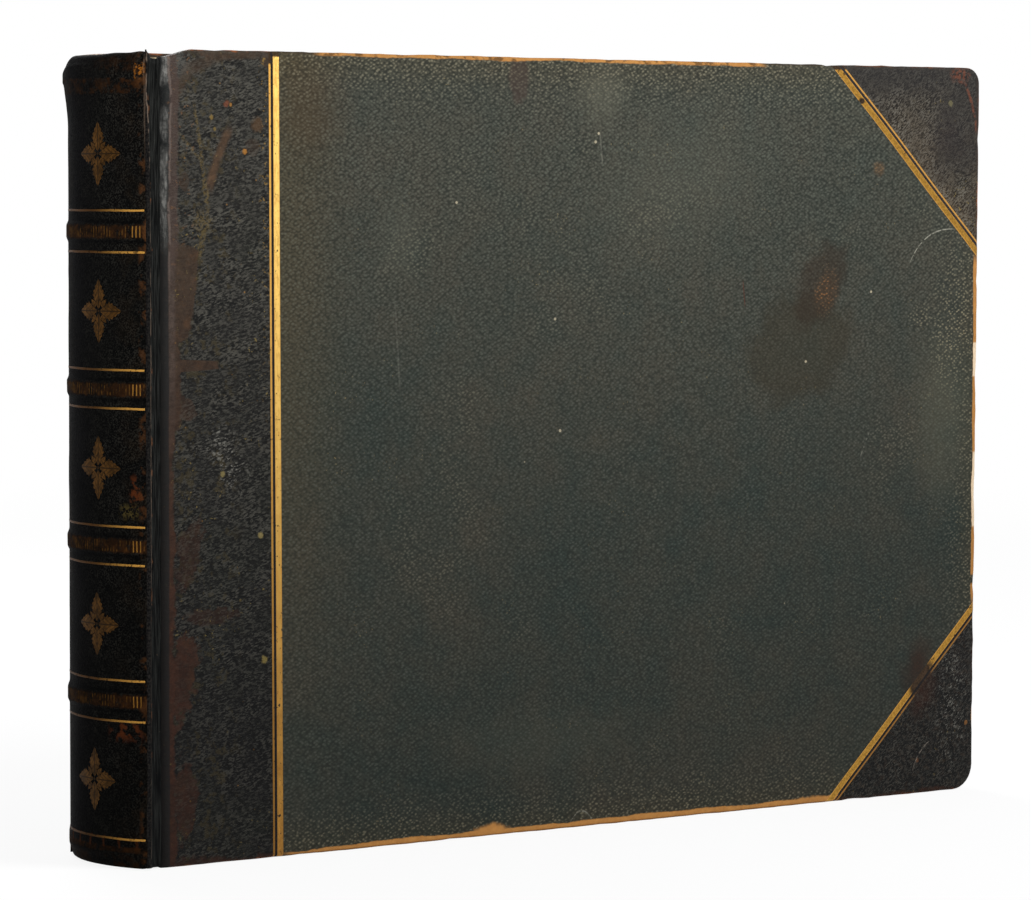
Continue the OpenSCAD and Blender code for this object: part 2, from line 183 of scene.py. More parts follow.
class Look(Tree):
    """A procedural material. Its fields x, y and z are in millimetres."""

    def __init__(self, name, uv=False):
        self.material = bpy.data.materials.new(name)
        self.material.use_nodes = True
        super().__init__(self.material.node_tree)
        self.bsdf = self.tree.nodes["Principled BSDF"]
        self.position = self.node("ShaderNodeTexCoord").outputs["UV" if uv else "Object"]
        split = self.node("ShaderNodeSeparateXYZ")
        self.put(split.inputs[0], self.position)
        self.x, self.y, self.z = (Field(self, s) * 1000 for s in split.outputs)
        self.colour = None

    def vector(self, x, y, z):
        node = self.node("ShaderNodeCombineXYZ")
        for socket, value in zip(node.inputs, (x, y, z)):
            self.put(socket, value)
        return node.outputs[0]

    def noise(self, size, detail=2, rough=0.5, warp=0, at=None):
        """Cloudy noise from 0 to 1 with lumps of about size mm."""
        node = self.node("ShaderNodeTexNoise")
        values = self.position if at is None else at, 1000 / size, detail, rough, warp
        for name, value in zip(("Vector", "Scale", "Detail", "Roughness", "Distortion"), values):
            self.put(node.inputs[name], value)
        return Field(self, node.outputs[0])

    def spots(self, size, low, high, detail=2, rough=0.5):
        """Noise with all under low made 0 and all over high made 1."""
        return self.noise(size, detail, rough).step(low, high)

    def cells(self, size, feature="F1", at=None, spread=1):
        node = self.node("ShaderNodeTexVoronoi", feature=feature)
        values = self.position if at is None else at, 1000 / size, spread
        for name, value in zip(("Vector", "Scale", "Randomness"), values):
            self.put(node.inputs[name], value)
        return Field(self, node.outputs["Distance"])

    def mix(self, factor, a, b):
        """Colour a where factor is 0 and colour b where it is 1."""
        node = self.node("ShaderNodeMix", data_type="RGBA")
        for socket, value in zip((node.inputs[0], node.inputs[6], node.inputs[7]), (factor, a, b)):
            self.put(socket, value)
        return node.outputs[2]

    def base(self, factor, a, b):
        """Makes the look's own colour a mix of two."""
        self.colour = self.mix(factor, a, b)

    def lay(self, factor, *tint):
        """Lays a screen colour over the look's own, fully where factor is 1."""
        self.base(factor, self.colour, tint)

    def blotch(self, u, z, reach_u, reach_z, ragged, size, soft, lean=0):
        """1 inside a ragged patch about u, z and 0 outside it. lean slants it, in mm of u per mm of z."""
        du = (self.u - u - (self.z - z) * lean) / reach_u if lean else (self.u - u) / reach_u
        dz = (self.z - z) / reach_z
        away = (du * du + dz * dz).op("SQRT")
        edge = self.noise(size, 3, 0.6) - 0.5
        return (away + edge * (2 * ragged)).step(1 + soft, 1 - soft)

    def streak(self, u0, z0, u1, z1, width, bow=0, ragged=0):
        """A scratch or band from one place to another, bowed sideways at its middle."""
        length = math.hypot(u1 - u0, z1 - z0)
        a, b = (u1 - u0) / length, (z1 - z0) / length
        along = (self.u - u0) * a + (self.z - z0) * b
        side = (self.z - z0) * a - (self.u - u0) * b
        if bow:
            side = side - along * (length - along) * (4 * bow / length**2)
        if ragged:
            side = side + (self.noise(3, 3, 0.6) - 0.5) * ragged
        return side.abs().step(width, width * 0.3) * along.window(0, length, length * 0.12)

    def finish(self, roughness, height, depth, specular, metal=0):
        """Joins the fields to the shader and gives the material. depth is the height of the relief in mm."""
        bump = self.node("ShaderNodeBump")
        for socket, value in (
            (self.bsdf.inputs["Base Color"], self.colour), (self.bsdf.inputs["Roughness"], roughness),
            (self.bsdf.inputs["Specular IOR Level"], specular), (self.bsdf.inputs["Metallic"], metal),
            (self.bsdf.inputs["Normal"], bump.outputs[0]), (bump.inputs["Height"], height),
            (bump.inputs["Strength"], 1), (bump.inputs["Distance"], depth * MM),
        ):
            self.put(socket, value)
        return self.material


class CoverLook(Look):
    """A material on a cover, with u running from the joint to the fore-edge."""

    def __init__(self, name):
        super().__init__(name)
        self.u = self.x - COVER_X0
        self.front = self.y.step(5, -5)
        self.edge = (FORE_X - self.x).least(self.z).least(HEIGHT - self.z)
        # The seams lean a little, as wear_cover sets them
        tilt, skew = (self.z - MIDDLE) / MIDDLE, self.front * 1.6 - 0.6
        lean = self.u.step(200, LEATHER_REACH) * -0.85 + self.u.step(200, COVER_WIDTH) * 0.8
        seam_u = self.u - lean * tilt * skew
        end = self.z.least(HEIGHT - self.z)
        turned = (self.u - COVER_WIDTH + CORNER_LEG).abs().step(SEAM_FADE, 0) * end.step(SEAM_FADE, 0)
        raised = (end - CORNER_LEG).abs().step(SEAM_FADE, 0)
        raised = raised * self.u.step(COVER_WIDTH - SEAM_FADE, COVER_WIDTH)
        leg = (COVER_WIDTH - seam_u) + end - turned * SEAM_TURN[0] + raised * SEAM_TURN[1]
        self.inside = (LEATHER_REACH - seam_u).most((CORNER_LEG - leg) / ROOT2)

    def gap(self, low, high, soft):
        """Painted shadow along the seam between cloth and leather, on the outer face."""
        return self.inside.window(low, high, soft) * (HALF_THICK - self.y.abs()).step(1.2, 0.6) * 0.8


def leather_grain(look):
    """Height of a morocco grain: small crooked pebbles with creases between them, which are given painted
    shade where the leather is coloured.
    """
    # The grain runs level on the strip and the spine, and slants on the corners
    slant = look.x.step(-20, 20) * 0.4 + 0.25
    across = (look.z * 0.9 - look.x * slant) * MM
    along = (look.x * 0.9 + look.z * slant) * (0.42 * MM)
    worms = look.noise(0.57, 1.5, 0.55, warp=0.15, at=look.vector(across, along, look.y * MM))
    return (worms * 0.82 + look.noise(2.8) * 0.18).step(0.35, 0.65)


def cloth_look():
    """Dark green book cloth with a pebble grain pressed into slanting rows, rubbed through at its edges."""
    look = CoverLook("book_cloth")
    y, z, u, front, edge = look.y, look.z, look.u, look.front, look.edge
    noise, spots, blotch, streak = look.noise, look.spots, look.blotch, look.streak
    mix, lay = look.mix, look.lay
    # The pebbles stand on a lattice of slanting rows, 1.2 mm apart along the cover and 0.84 mm up it
    sway = (noise(7, 1) - 0.5) * 0.8
    over, up = u / 1.22, z / 0.84
    rising, falling = ((over + up) * 0.5 + sway) * MM, ((over - up) * 0.5 - sway) * MM
    depth = (y + 0.01) * MM
    pebbles = look.cells(1, at=look.vector(rising, falling, depth), spread=0.6).step(0.62, 0.1)
    dashes = noise(0.72, 1, 0.5, at=look.vector(rising * 0.6, falling, depth)).step(0.3, 0.7)
    grain = pebbles * 0.56 + dashes * 0.44
    broad, mottle = noise(75, 3, 0.55), noise(13, 3, 0.65)
    tone = (broad - 0.5) * 1.6 + 0.45 + (mottle - 0.5) * 1.3 + (noise(30) - 0.5) * 1.1
    look.base(tone.op("ADD", 0, clamp=True), (53, 61, 56), (70, 68, 59))
    # The cloth is paler towards the head, as painted light from above, and brown beside the gilt and near
    # its edges
    lay(z.step(90, 300) * 0.3, 88, 87, 76)
    tan = u.step(LEATHER_REACH + 40, LEATHER_REACH) * 0.5 * z.step(-20, 230)
    rubbed = edge.step(22, 0) * 0.6 + spots(40, 0.56, 0.75, 3) * 0.3
    rubbed = rubbed.most(
        blotch(376, 186, 12, 22, 0.6, 7, 0.7) * front, blotch(356, 191, 5, 4, 0.6, 4, 0.7) * front * 0.8
    )
    lay(tan + edge.step(14, 1) * 0.25, 84, 74, 52)
    # Painted highlights on the pebble tops and painted shade between them, stronger towards the head; the
    # tops are also worn pale where the cloth is rubbed
    tops = grain.step(0.52, 0.9)
    relief_light = z.step(120, 300) * 0.35 + 0.85
    lay(tops * relief_light * 0.25, 112, 116, 106)
    lay(tops * rubbed * 0.75, 142, 133, 108)
    lay(grain.step(0.52, 0.06) * relief_light * 0.5, 22, 27, 26)
    # Scattered pale flecks where the dye has worn off
    flecks = spots(0.9, 0.7, 0.78, 1, 0.6) * spots(22, 0.5, 0.7)
    lay(flecks * 0.6, 150, 134, 96)
    dots = look.cells(24).step(0.03, 0.018) * 0.85
    for *place, lean, strength, tint in (
        (195.5, 277, 9, 9, 0, 0.26, (114, 112, 96)), (231.8, 244.4, 30, 22, 0.4, 0.16, (104, 103, 90)),
        (102.5, 224, 8, 12, 0, 0.16, (104, 103, 90)), (167, 34.4, 34, 10, 0, 0.16, (98, 96, 82)),
        (368, 150.7, 12, 26, 0, 0.2, (118, 114, 94)), (62, 268, 10, 14, 0, 0.35, (74, 58, 38)),
    ):
        lay(blotch(*place, 0.6, 7, 0.9, lean) * front * strength, *tint)
    # An old spill: a wide ring, a darker lobe over it and rust on the grain at its heart
    spill = blotch(292.5, 179, 24.5, 19, 0.45, 11, 0.24, 0.15)
    ring = spill * blotch(292.5, 179, 20, 15, 0.45, 11, 0.35, 0.15).op("SUBTRACT", 1).abs()
    lay(spill * front * 0.42, 56, 51, 38)
    lay(ring * front * 0.22, 46, 36, 24)
    lay(blotch(304.5, 204.5, 11.5, 16, 0.5, 7, 0.26, 0.4) * front * 0.52, 50, 39, 30)
    lay(blotch(306.8, 202, 4.8, 7.6, 0.6, 4, 0.6, 0.2) * front * (tops * 0.42 + 0.05), 158, 104, 52)
    lay(blotch(333.7, 249.4, 2.8, 2.6, 0.7, 3, 0.4) * front * (tops * 0.4 + 0.24), 118, 84, 50)
    lay(blotch(156.5, 282, 4.6, 9, 0.35, 4, 0.2) * front * 0.5, 72, 58, 52)
    lay(blotch(355.2, 50.5, 5.6, 8.6, 0.6, 4, 0.9, 0.3) * front * (grain * 0.4 + 0.5), 56, 36, 27)
    for place in ((330, 201), (296.5, 174.1), (194, 262), (128, 236)):
        dots = dots.most(blotch(*place, 0.5, 0.5, 0.2, 1, 0.4) * front)
    lay(dots * 0.8, 196, 184, 156)
    lay(blotch(118, 96, 26, 15, 0.5, 12, 0.5, 0.3) * (1 - front) * 0.5, 60, 50, 38)
    scratches = (streak(351, 213.6, 372.6, 225.6, 0.34, 3.6) * 0.8).most(
        streak(194.6, 262, 195.8, 251, 0.5) * 0.2, streak(100.2, 200.4, 102.5, 167.5, 0.6) * 0.1,
        streak(329.9, 146.4, 325, 136, 0.4) * 0.35, streak(181.6, 2.6, 191.6, 2.6, 0.5, 3.6, 0.6) * 0.5,
    ) * front + streak(60, 150, 128, 172, 0.5, -3) * (1 - front) * 0.5
    lay(scratches * spots(1.6, 0.35, 0.55), 164, 162, 148)
    lay(streak(264.6, 205.6, 265.6, 196.4, 0.4) * front * 0.6, 84, 44, 32)
    # Painted shadow along the seam with the leather
    lay(look.gap(-0.75, 0.3, 0.3), 28, 26, 28)
    # Bare board where the cloth has gone: the head, the tail and the fore-edge
    ragged = (noise(24, 3, 0.6) - 0.44) * 7 + (noise(2.2, 2, 0.6) - 0.5) * 1.6
    tail = (z - ragged * 0.4 - u.step(60, 115) * 1.1).step(1.5, 0.9) * u.window(52.3, 322.4, 4)
    tear = blotch(144, -0.5, 10, 5, 0.3, 4, 0.2).most(blotch(300, -0.5, 20, 3.2, 0.35, 4, 0.2))
    head = (HEIGHT - z - ragged * 0.4).step(1.5, 0.9) * u.window(66.2, 274.5, 3)
    fore = (FORE_X - look.x - ragged * 0.35).step(2.7, 2.2) * z.window(76, 214, 3)
    fore = fore * z.window(83, 86.5, 0.6).op("SUBTRACT", 1).abs()
    inner_side = y.abs().step(25.2, 23.4)
    bare = tail.most(tear * front, head, fore) * (1 - inner_side * spots(9, 0.4, 0.6))
    board = mix(noise(3, 3, 0.7), (206, 150, 84), (160, 108, 58))
    cream = z.window(106, 136, 0.6).most(z.window(166.5, 180, 0.5)) * fore * front
    board = mix(cream * 0.85, board, (244, 222, 190))
    board = mix(head * spots(7, 0.5, 0.6, 3, 0.7) * 0.7, board, (70, 50, 30))
    board = mix(z.step(0.9, 0.3) * 0.5, board, (84, 54, 30))
    look.base(bare, look.colour, board)
    rim = edge.step(1.2, 0.3) * (1 - bare)
    lay(rim * 0.5, 60, 44, 28)
    # Painted shade: darker towards the tail and a little towards the fore-edge, less on the bare board by
    # the tail
    shade = z.step(-60, 330) * 0.35 + 0.52 - u.step(210, 380) * 0.06
    lay(1 - ((shade + bare * z.step(60, 0) * 0.2).least(1)), 0, 0, 0)
    relief = grain * (1 - bare * 0.9) + noise(0.3, 1) * 0.15
    return look.finish(bare * 0.25 + 0.64, relief, 0.1, 0.06)


def wear_and_light_leather(look, rub, rub_colour, grain, glint):
    """Adds grain, with painted glints on its tops and painted shade in its creases, and rubbed places to a
    leather, and gives its height. Rubbed places are smoother.
    """
    fine = look.noise(0.5, 2, 0.6)
    relief_light = (look.spots(9, 0.35, 0.65) * 0.6 + 0.45) * (look.z.step(0, 200) * 0.14 + 0.9)
    # Painted glints on the grain's tops and painted shade in its creases, a little stronger towards the head
    look.lay(grain.step(0.5, 1) * relief_light * glint, 112, 109, 100)
    look.lay(grain.step(0.5, 0) * (relief_light * 0.45 + 0.4), 9, 9, 9)
    mottle = look.spots(1.7, 0.38, 0.62, 3, 0.7) * 0.55 + look.spots(4.5, 0.42, 0.58, 3, 0.6) * 0.45
    soft = look.mix((fine * 0.3 + mottle * 0.7) * 0.7, rub_colour, (30, 23, 19))
    look.base(rub * 0.85, look.colour, soft)
    return grain * (1 - rub * 0.65) + fine * 0.25


def finish_leather(look, rub, height, rough, specular):
    """Darkens a leather towards its tail with painted shade, and joins it to the shader."""
    look.lay(1 - (look.z.step(-40, 320) * 0.58 + 0.4), 0, 0, 0)
    roughness = look.noise(18) * 0.22 + rough + rub * 0.12
    return look.finish(roughness, height, 0.12, specular)


def board_leather_look():
    """Black-brown morocco on the covers, rubbed brown beside the joint and round the edges."""
    look = CoverLook("cover_leather")
    z, u, front, edge, noise = look.z, look.u, look.front, look.edge, look.noise
    spots, blotch, streak, mix, lay = look.spots, look.blotch, look.streak, look.mix, look.lay
    wide = noise(34, 3, 0.6)
    # Painted light: the leather is paler towards the head
    look.base(z.step(20, 290), (24, 24, 23), (46, 45, 41))
    corner_warm = u.step(200, 260) * z.step(120, 170)
    lay(corner_warm * (z.step(286, 240) * 0.6 + 0.22), 86, 75, 60)
    lay(wide.step(0.5, 0.72) * 0.5, 38, 40, 34)
    patchy = spots(12, 0.44, 0.6, 3, 0.65) * u.step(200, 260)
    lay(patchy * 0.4, 34, 31, 28)
    grain = leather_grain(look)
    spread = (noise(16, 3, 0.6) - 0.5) * 13 + (noise(3, 3, 0.7) - 0.5) * 7
    # Smooth brown leather beside the joint, with a wide patch and a tongue that reaches across the strip
    reach = z.window(187, 221, 2) * (z.step(189, 210) * 2.6 + 7) + z.window(155, 187, 3) * 2.6 + 5
    reach = reach.most(z.window(176.2, 180.2, 0.8) * 24.5)
    beside = (u + spread * 0.5 - reach).step(0.7, -0.7) * z.step(224, 219)
    rub = (beside * (front * 0.15 + 0.85)).most(
        (edge + spread * 0.7).step(3.4, 1) * u.step(60, 48) * 0.8,
        (edge + spread * 0.35).step(2.2, 0.6) * 0.8,
    )
    for *place, lean, strength in (
        (10.4, 162.5, 4.2, 4, -0.3, 0.6), (9.2, 243.5, 2.2, 3.6, 0, 0.5), (10.8, 112, 5, 12, 0.2, 0.5),
        (7, 66, 6.5, 16, 0.2, 0.85), (9.5, 24, 4.5, 14, 0, 0.7), (20.6, 88.5, 11, 3, 0, 0.4),
        (38.5, 255.9, 3, 3, 0, 0.4), (45.6, 287, 4, 3, 0, 0.8),
    ):
        rub = rub.most(blotch(*place, 0.9, 4, 0.14, lean) * front * strength)
    arc = streak(1.5, 268, 12, 283.5, 3.2, 0, 3).most(streak(10, 282, 24, 288, 3.4, 0, 3))
    arc = (arc * 0.72).most(streak(22, 287.5, 42, 289, 2.2, 0, 2))
    lens = streak(28.4, 262, 19.8, 240.4, 2.6, -0.8, 1.2)
    smudge = blotch(358.8, 40.5, 5, 8, 0.6, 4, 0.9, 0.3) * front
    rub = rub.most(arc * front * 0.86, lens * front, smudge * 0.6)
    rub_colour = mix(z.step(60, 230), (80, 49, 36), (75, 60, 47))
    rub_colour = mix(spots(7, 0.52, 0.7, 3, 0.6) * 0.4, rub_colour, (98, 66, 40))
    rub_colour = mix(lens * front * 0.5, rub_colour, (108, 82, 60))
    rub_colour = mix(u.step(6.4, 4.6) * z.step(130, 200) * 0.45, rub_colour, (104, 91, 86))
    # Strength of the painted glints on the grain, more on the corners
    glint = u.step(200, 260) * 0.14 + 0.32
    height = wear_and_light_leather(look, rub, rub_colour, grain, glint)
    tint = spots(26, 0.5, 0.62)
    flecks = spots(1.6, 0.66, 0.72, 2, 0.6) * tint
    lay(flecks * 0.65, 134, 116, 68)
    specks = look.cells(7).step(0.07, 0.03) * u.step(50, 44) * spots(15, 0.45, 0.6, 1)
    lay(specks * 0.7, 150, 108, 50)
    fray = (edge + (noise(4) - 0.5) * 2.4).step(0.7, 0.1) * spots(12, 0.42, 0.55)
    lay(fray * 0.8, 146, 84, 46)
    olive = spots(6, 0.52, 0.62, 3, 0.7) * u.window(4, 30, 6) * spots(2, 0.4, 0.55)
    lay(olive * (1 - rub) * 0.6, 66, 58, 38)
    trail = streak(13.5, 271, 17.2, 249, 0.9, 0, 1.6).most(
        streak(16.6, 252, 19.2, 234, 1.3, 0, 2.4), streak(7.4, 260, 16.8, 250.6, 0.9, 0, 1.2) * 0.7,
        streak(19.2, 234, 15.8, 216, 1.6, 0, 3) * 0.8, blotch(17.2, 229, 3.4, 3.6, 0.9, 3, 0.5) * 0.9,
    )
    lay(trail * front * spots(1.1, 0.38, 0.58, 2, 0.6) * 0.55, 104, 88, 52)
    gilded = spots(1.5, 0.62, 0.68, 2, 0.6) * u.window(41.5, 46, 1.5) * z.step(130, 260)
    lay(gilded * 0.5, 152, 120, 60)
    # Patches of painted glints where the grain catches the light
    glints = blotch(27, 145, 6.5, 11.5, 0.5, 6, 0.5, -0.35)
    glints = glints.most(blotch(374, 36, 6.5, 22, 0.6, 7, 0.6)) * front * grain.step(0.6, 0.95)
    lay(glints * spots(1.7, 0.45, 0.62, 2, 0.6) * 0.7, 136, 134, 126)
    # The folded edge along the joint: a polished ridge towards the head with a painted sheen on it, and a
    # hollow with painted shade elsewhere
    bent = (noise(15) - 0.5) * 3.6 + (noise(3) - 0.5) * 0.9
    fold = u + bent
    fibres = noise(1.3, 2, 0.6, at=look.vector(u * (1.2 * MM), 0, z * (0.25 * MM)))
    crest = z.step(276, 284)
    lit = z.step(214, 236) * spots(11, 0.4, 0.54, 3, 0.6).most(crest)
    ridge = (u + bent * 0.6 - crest * 1.6).window(-0.4, 2.3, 0.6)
    shine = ridge * (fibres.step(0.4, 0.62) * 0.65 + 0.25) * lit
    shine = shine.most(blotch(6.8, 283.5, 4.6, 4, 0.6, 5, 0.5) * 0.08)
    hollow = (u + bent * 0.2).step(3.1, 2.5)
    lay(hollow.most(fold.step(4.2, 3.2) * z.step(210, 232)) * front * 0.88, 32, 34, 34)
    lay(shine * front * 0.76, 148, 147, 142)
    torn = fold + (noise(1.7) - 0.5) * 1.8
    lip = torn.window(3, 6.8, 0.6) * z.step(205, 225) * spots(9, 0.3, 0.44)
    brink = fold.window(3, 3.9, 0.3) * spots(6, 0.4, 0.5, 3, 0.6) * z.step(200, 225)
    lay(lip * front * 0.7, 73, 59, 53)
    lay(brink * front * 0.4, 124, 110, 102)
    embers = spots(2.2, 0.6, 0.66, 3, 0.7) * u.window(2.5, 14, 2) * z.step(170, 260)
    lay(embers * 0.3, 140, 98, 58)
    for *place, size, tint in (
        (41.5, 116.9, 1, (150, 134, 84)), (25.3, 139.4, 1, (140, 126, 80)),
        (43, 72, 1.2, (146, 128, 70)), (27.2, 271, 1.1, (112, 64, 44)),
        (29, 270.6, 0.6, (160, 112, 52)), (20.8, 266.2, 0.8, (128, 104, 54)),
        (22.2, 262, 0.6, (116, 96, 50)), (34.8, 254.2, 0.85, (166, 112, 44)),
        (40.2, 263.6, 2.2, (78, 58, 38)), (371.5, 275.6, 1.1, (140, 132, 92)),
        (382, 26.9, 0.8, (160, 110, 60)), (356, 13.5, 0.8, (120, 80, 52)),
    ):
        lay(blotch(*place, size, size * 1.1, 0.8, 1.6, 0.4) * front * 0.75, *tint)
    # The head corner's dark rim with a red-brown streak, and a scratch on the tail corner
    brim = u.step(346, 380).most(z.step(270, 286)) * z.step(236, 256) * u.step(300, 310)
    lay(brim * 0.66, 34, 33, 33)
    bruise = blotch(369.5, 261.5, 7, 9, 0.7, 6, 0.8) * front
    lay(bruise * 0.4, 34, 29, 30)
    red = streak(379.2, 284, 385.4, 265, 0.9, bow=1, ragged=1.2) * spots(2.4, 0.36, 0.56, 3)
    red = red.most(blotch(376.6, 286.8, 4.4, 2.6, 0.9, 3, 0.5) * spots(1.2, 0.36, 0.6))
    lay(red * front * 0.55, 112, 62, 42)
    scratch = streak(353.9, 10.4, 362.8, 21, 0.36, bow=1.2) * spots(2.2, 0.3, 0.6) * front
    lay(scratch * 0.75, 152, 142, 130)
    mould = spots(2.2, 0.5, 0.66, 3, 0.7) * z.step(110, 60) * u.step(290, 310)
    lay(mould * 0.42, 66, 54, 44)
    # Painted shadow along the seam with the cloth
    lay(look.gap(-0.2, 0.66, 0.2), 28, 25, 28)
    return finish_leather(look, rub, height - shine * 0.3, 0.46, 0.08)


def spine_turn(look):
    """Angle in degrees from the middle of the spine, towards the front cover."""
    return (look.y * -1).op("ARCTAN2", (look.x - SPINE_X) * -1) * (180 / math.pi)


def spine_leather_look():
    """Near-black morocco over the spine, rubbed brown on its bands and at head and tail."""
    look = Look("spine_leather")
    z, noise, spots, lay = look.z, look.noise, look.spots, look.lay
    turn = spine_turn(look)
    front = turn.step(0, 6)
    # Painted shade: the leather is darker towards the back cover
    look.base(turn.step(14, -12), (18, 18, 17), (7, 7, 9))
    olive = spots(10, 0.42, 0.7, 3, 0.7) * turn.abs().step(12, 27)
    lay(olive * 0.6, 38, 31, 23)
    grain = leather_grain(look)
    ragged = (noise(2.4, 2, 0.7) - 0.5) * 2.2
    rub = (turn * 0).most(*((z - band + ragged).abs().step(2.9, 1.7) for band in BANDS))
    head = (z - 277 + ragged * 0.7).abs().step(3.1, 2.3)
    foot = (z - 6.6 + ragged * 0.5).abs().step(1.3, 0.7)
    crown = (z - 284.5 + ragged).abs().step(4, 1.5) * turn.step(2, 16) * 0.45
    sole = z.step(6, 3) * spots(6, 0.4, 0.6) * 0.6
    rub = rub * spots(5, 0.3, 0.52, 3, 0.7)
    patchy = noise(4, 3, 0.7)
    rub = rub.most(
        head * patchy.step(0.4, 0.62) * (turn.step(-14, 4) * 0.35 + 0.6), foot * patchy.step(0.3, 0.55),
        crown * patchy.step(0.4, 0.6), sole,
    )
    rub_colour = look.mix(spots(3, 0.36, 0.72, 4, 0.75), (24, 16, 10), (72, 46, 24))
    rub_colour = look.mix(turn.step(10, 27) * 0.35, rub_colour, (104, 62, 28))
    # Painted glints on the grain, fainter towards the back cover
    glint = turn.step(-20, 20) * 0.08 + 0.03
    height = wear_and_light_leather(look, rub, rub_colour, grain, glint)
    # Painted shadow along the foot of each band, and short gilt strokes across the bands, brightest by the
    # joint
    band_edge_shadows = (turn * 0).most(*(((z - band).abs() - 3.5).abs().step(0.9, 0.2) for band in BANDS))
    lay(band_edge_shadows * 0.6, 9, 9, 10)
    strokes = (turn * 3.9 + noise(3) * 1.6).op("SINE").step(0.35, 0.9)
    lit = spots(4, 0.45, 0.62, 3, 0.7) * 0.2 + turn.window(25.6, 29.4, 0.4) * 0.75
    on_band = (turn * 0).most(*((z - band).abs().step(2.2, 1.8) for band in BANDS))
    lay(strokes * lit * on_band, 186, 132, 58)
    bars = (turn * 0.72 + noise(6, 1) * 2).op("SINE").step(0.8, 0.97) * z.window(7, 11, 0.3)
    lay(bars * 0.55, 84, 46, 24)
    dots = turn * 0
    for place in (-10.1, 4.1):
        dots = dots.most((turn - place).abs().step(1.35, 0.9) * (z - 277.3).abs().step(1.3, 0.8))
    lay(dots * 0.9, 12, 11, 11)
    patch = spots(1.8, 0.45, 0.56, 3, 0.7)
    gold = turn.window(27.6, 31.2, 0.6) * z.window(279.4, 284.6, 0.8) * patch
    lay(gold * 0.85, 176, 108, 36)
    scuff = turn.window(19.5, 28, 2) * z.window(124.5, 129, 1.6) * patch
    rust = turn.window(24, 30.5, 1) * z.window(129, 139, 2) * spots(3, 0.48, 0.6, 3)
    low = turn.window(14, 29, 3) * z.window(46, 52, 2) * spots(3, 0.5, 0.62, 3)
    lay(scuff * 0.8, 92, 80, 44)
    lay(rust.most(low) * 0.8, 104, 54, 28)
    # The crack along the joint's edge leaves the spine below its head
    sway = (noise(11) - 0.5) * 1.5 - z.step(276, 205) * 2.2
    torn = (turn.abs() + sway - 30.9).abs().step(0.5, 0.2) * spots(9, 0.36, 0.5, 3, 0.6)
    lay(torn * 0.4, 112, 96, 82)
    warm = turn.step(27.5, 29.5) * spots(6, 0.5, 0.62, 3, 0.7) * front
    lay(warm * 0.55, 96, 62, 36)
    return finish_leather(look, rub, height - dots, 0.42, 0.004)


def joint_leather_look():
    """Creased leather down the hollow of a joint. Its UV map gives mm across the groove and mm of height."""
    look = Look("joint_leather", uv=True)
    spots, lay = look.spots, look.lay
    across, up = look.x, look.y
    folds = look.vector(across * (2.6 * MM), up * (0.12 * MM), 0)
    crease = look.noise(1.5, 3, 0.6, at=folds)
    # The spine's leather reaches round to a pale crack that wanders down the joint
    sway = (look.noise(14) - 0.5) * 2.2 + (look.noise(2.5) - 0.5) * 0.7
    crack = up.step(288, 215) * 2.5 - up.step(140, 20) * 0.7 + sway + 0.7
    groove = (across - crack).step(-0.1, 0.3)
    spine_side = look.mix(spots(0.9, 0.4, 0.62, 2, 0.6), (11, 11, 12), (34, 32, 30))
    look.base(crease.step(0.38, 0.72), (11, 12, 12), (45, 46, 44))
    # Painted shade: darker towards the tail
    lay(up.step(240, 20) * 0.4, 12, 13, 14)
    look.base(groove, spine_side, look.colour)
    torn = (across - crack).abs().step(0.34, 0.1) * spots(8, 0.42, 0.54, 3, 0.6)
    lay(torn * (up.step(60, 190) * 0.5 + 0.2), 124, 108, 94)
    rust = (across - crack - 0.5).abs().step(0.5, 0.2) * spots(7, 0.56, 0.64, 3, 0.7)
    lay(rust * 0.6, 104, 66, 40)
    nick = spots(2.4, 0.68, 0.74, 3, 0.7)
    lay(nick * 0.6, 96, 80, 62)
    return look.finish(crease * 0.3 + 0.35, crease, 0.3, 0.02)


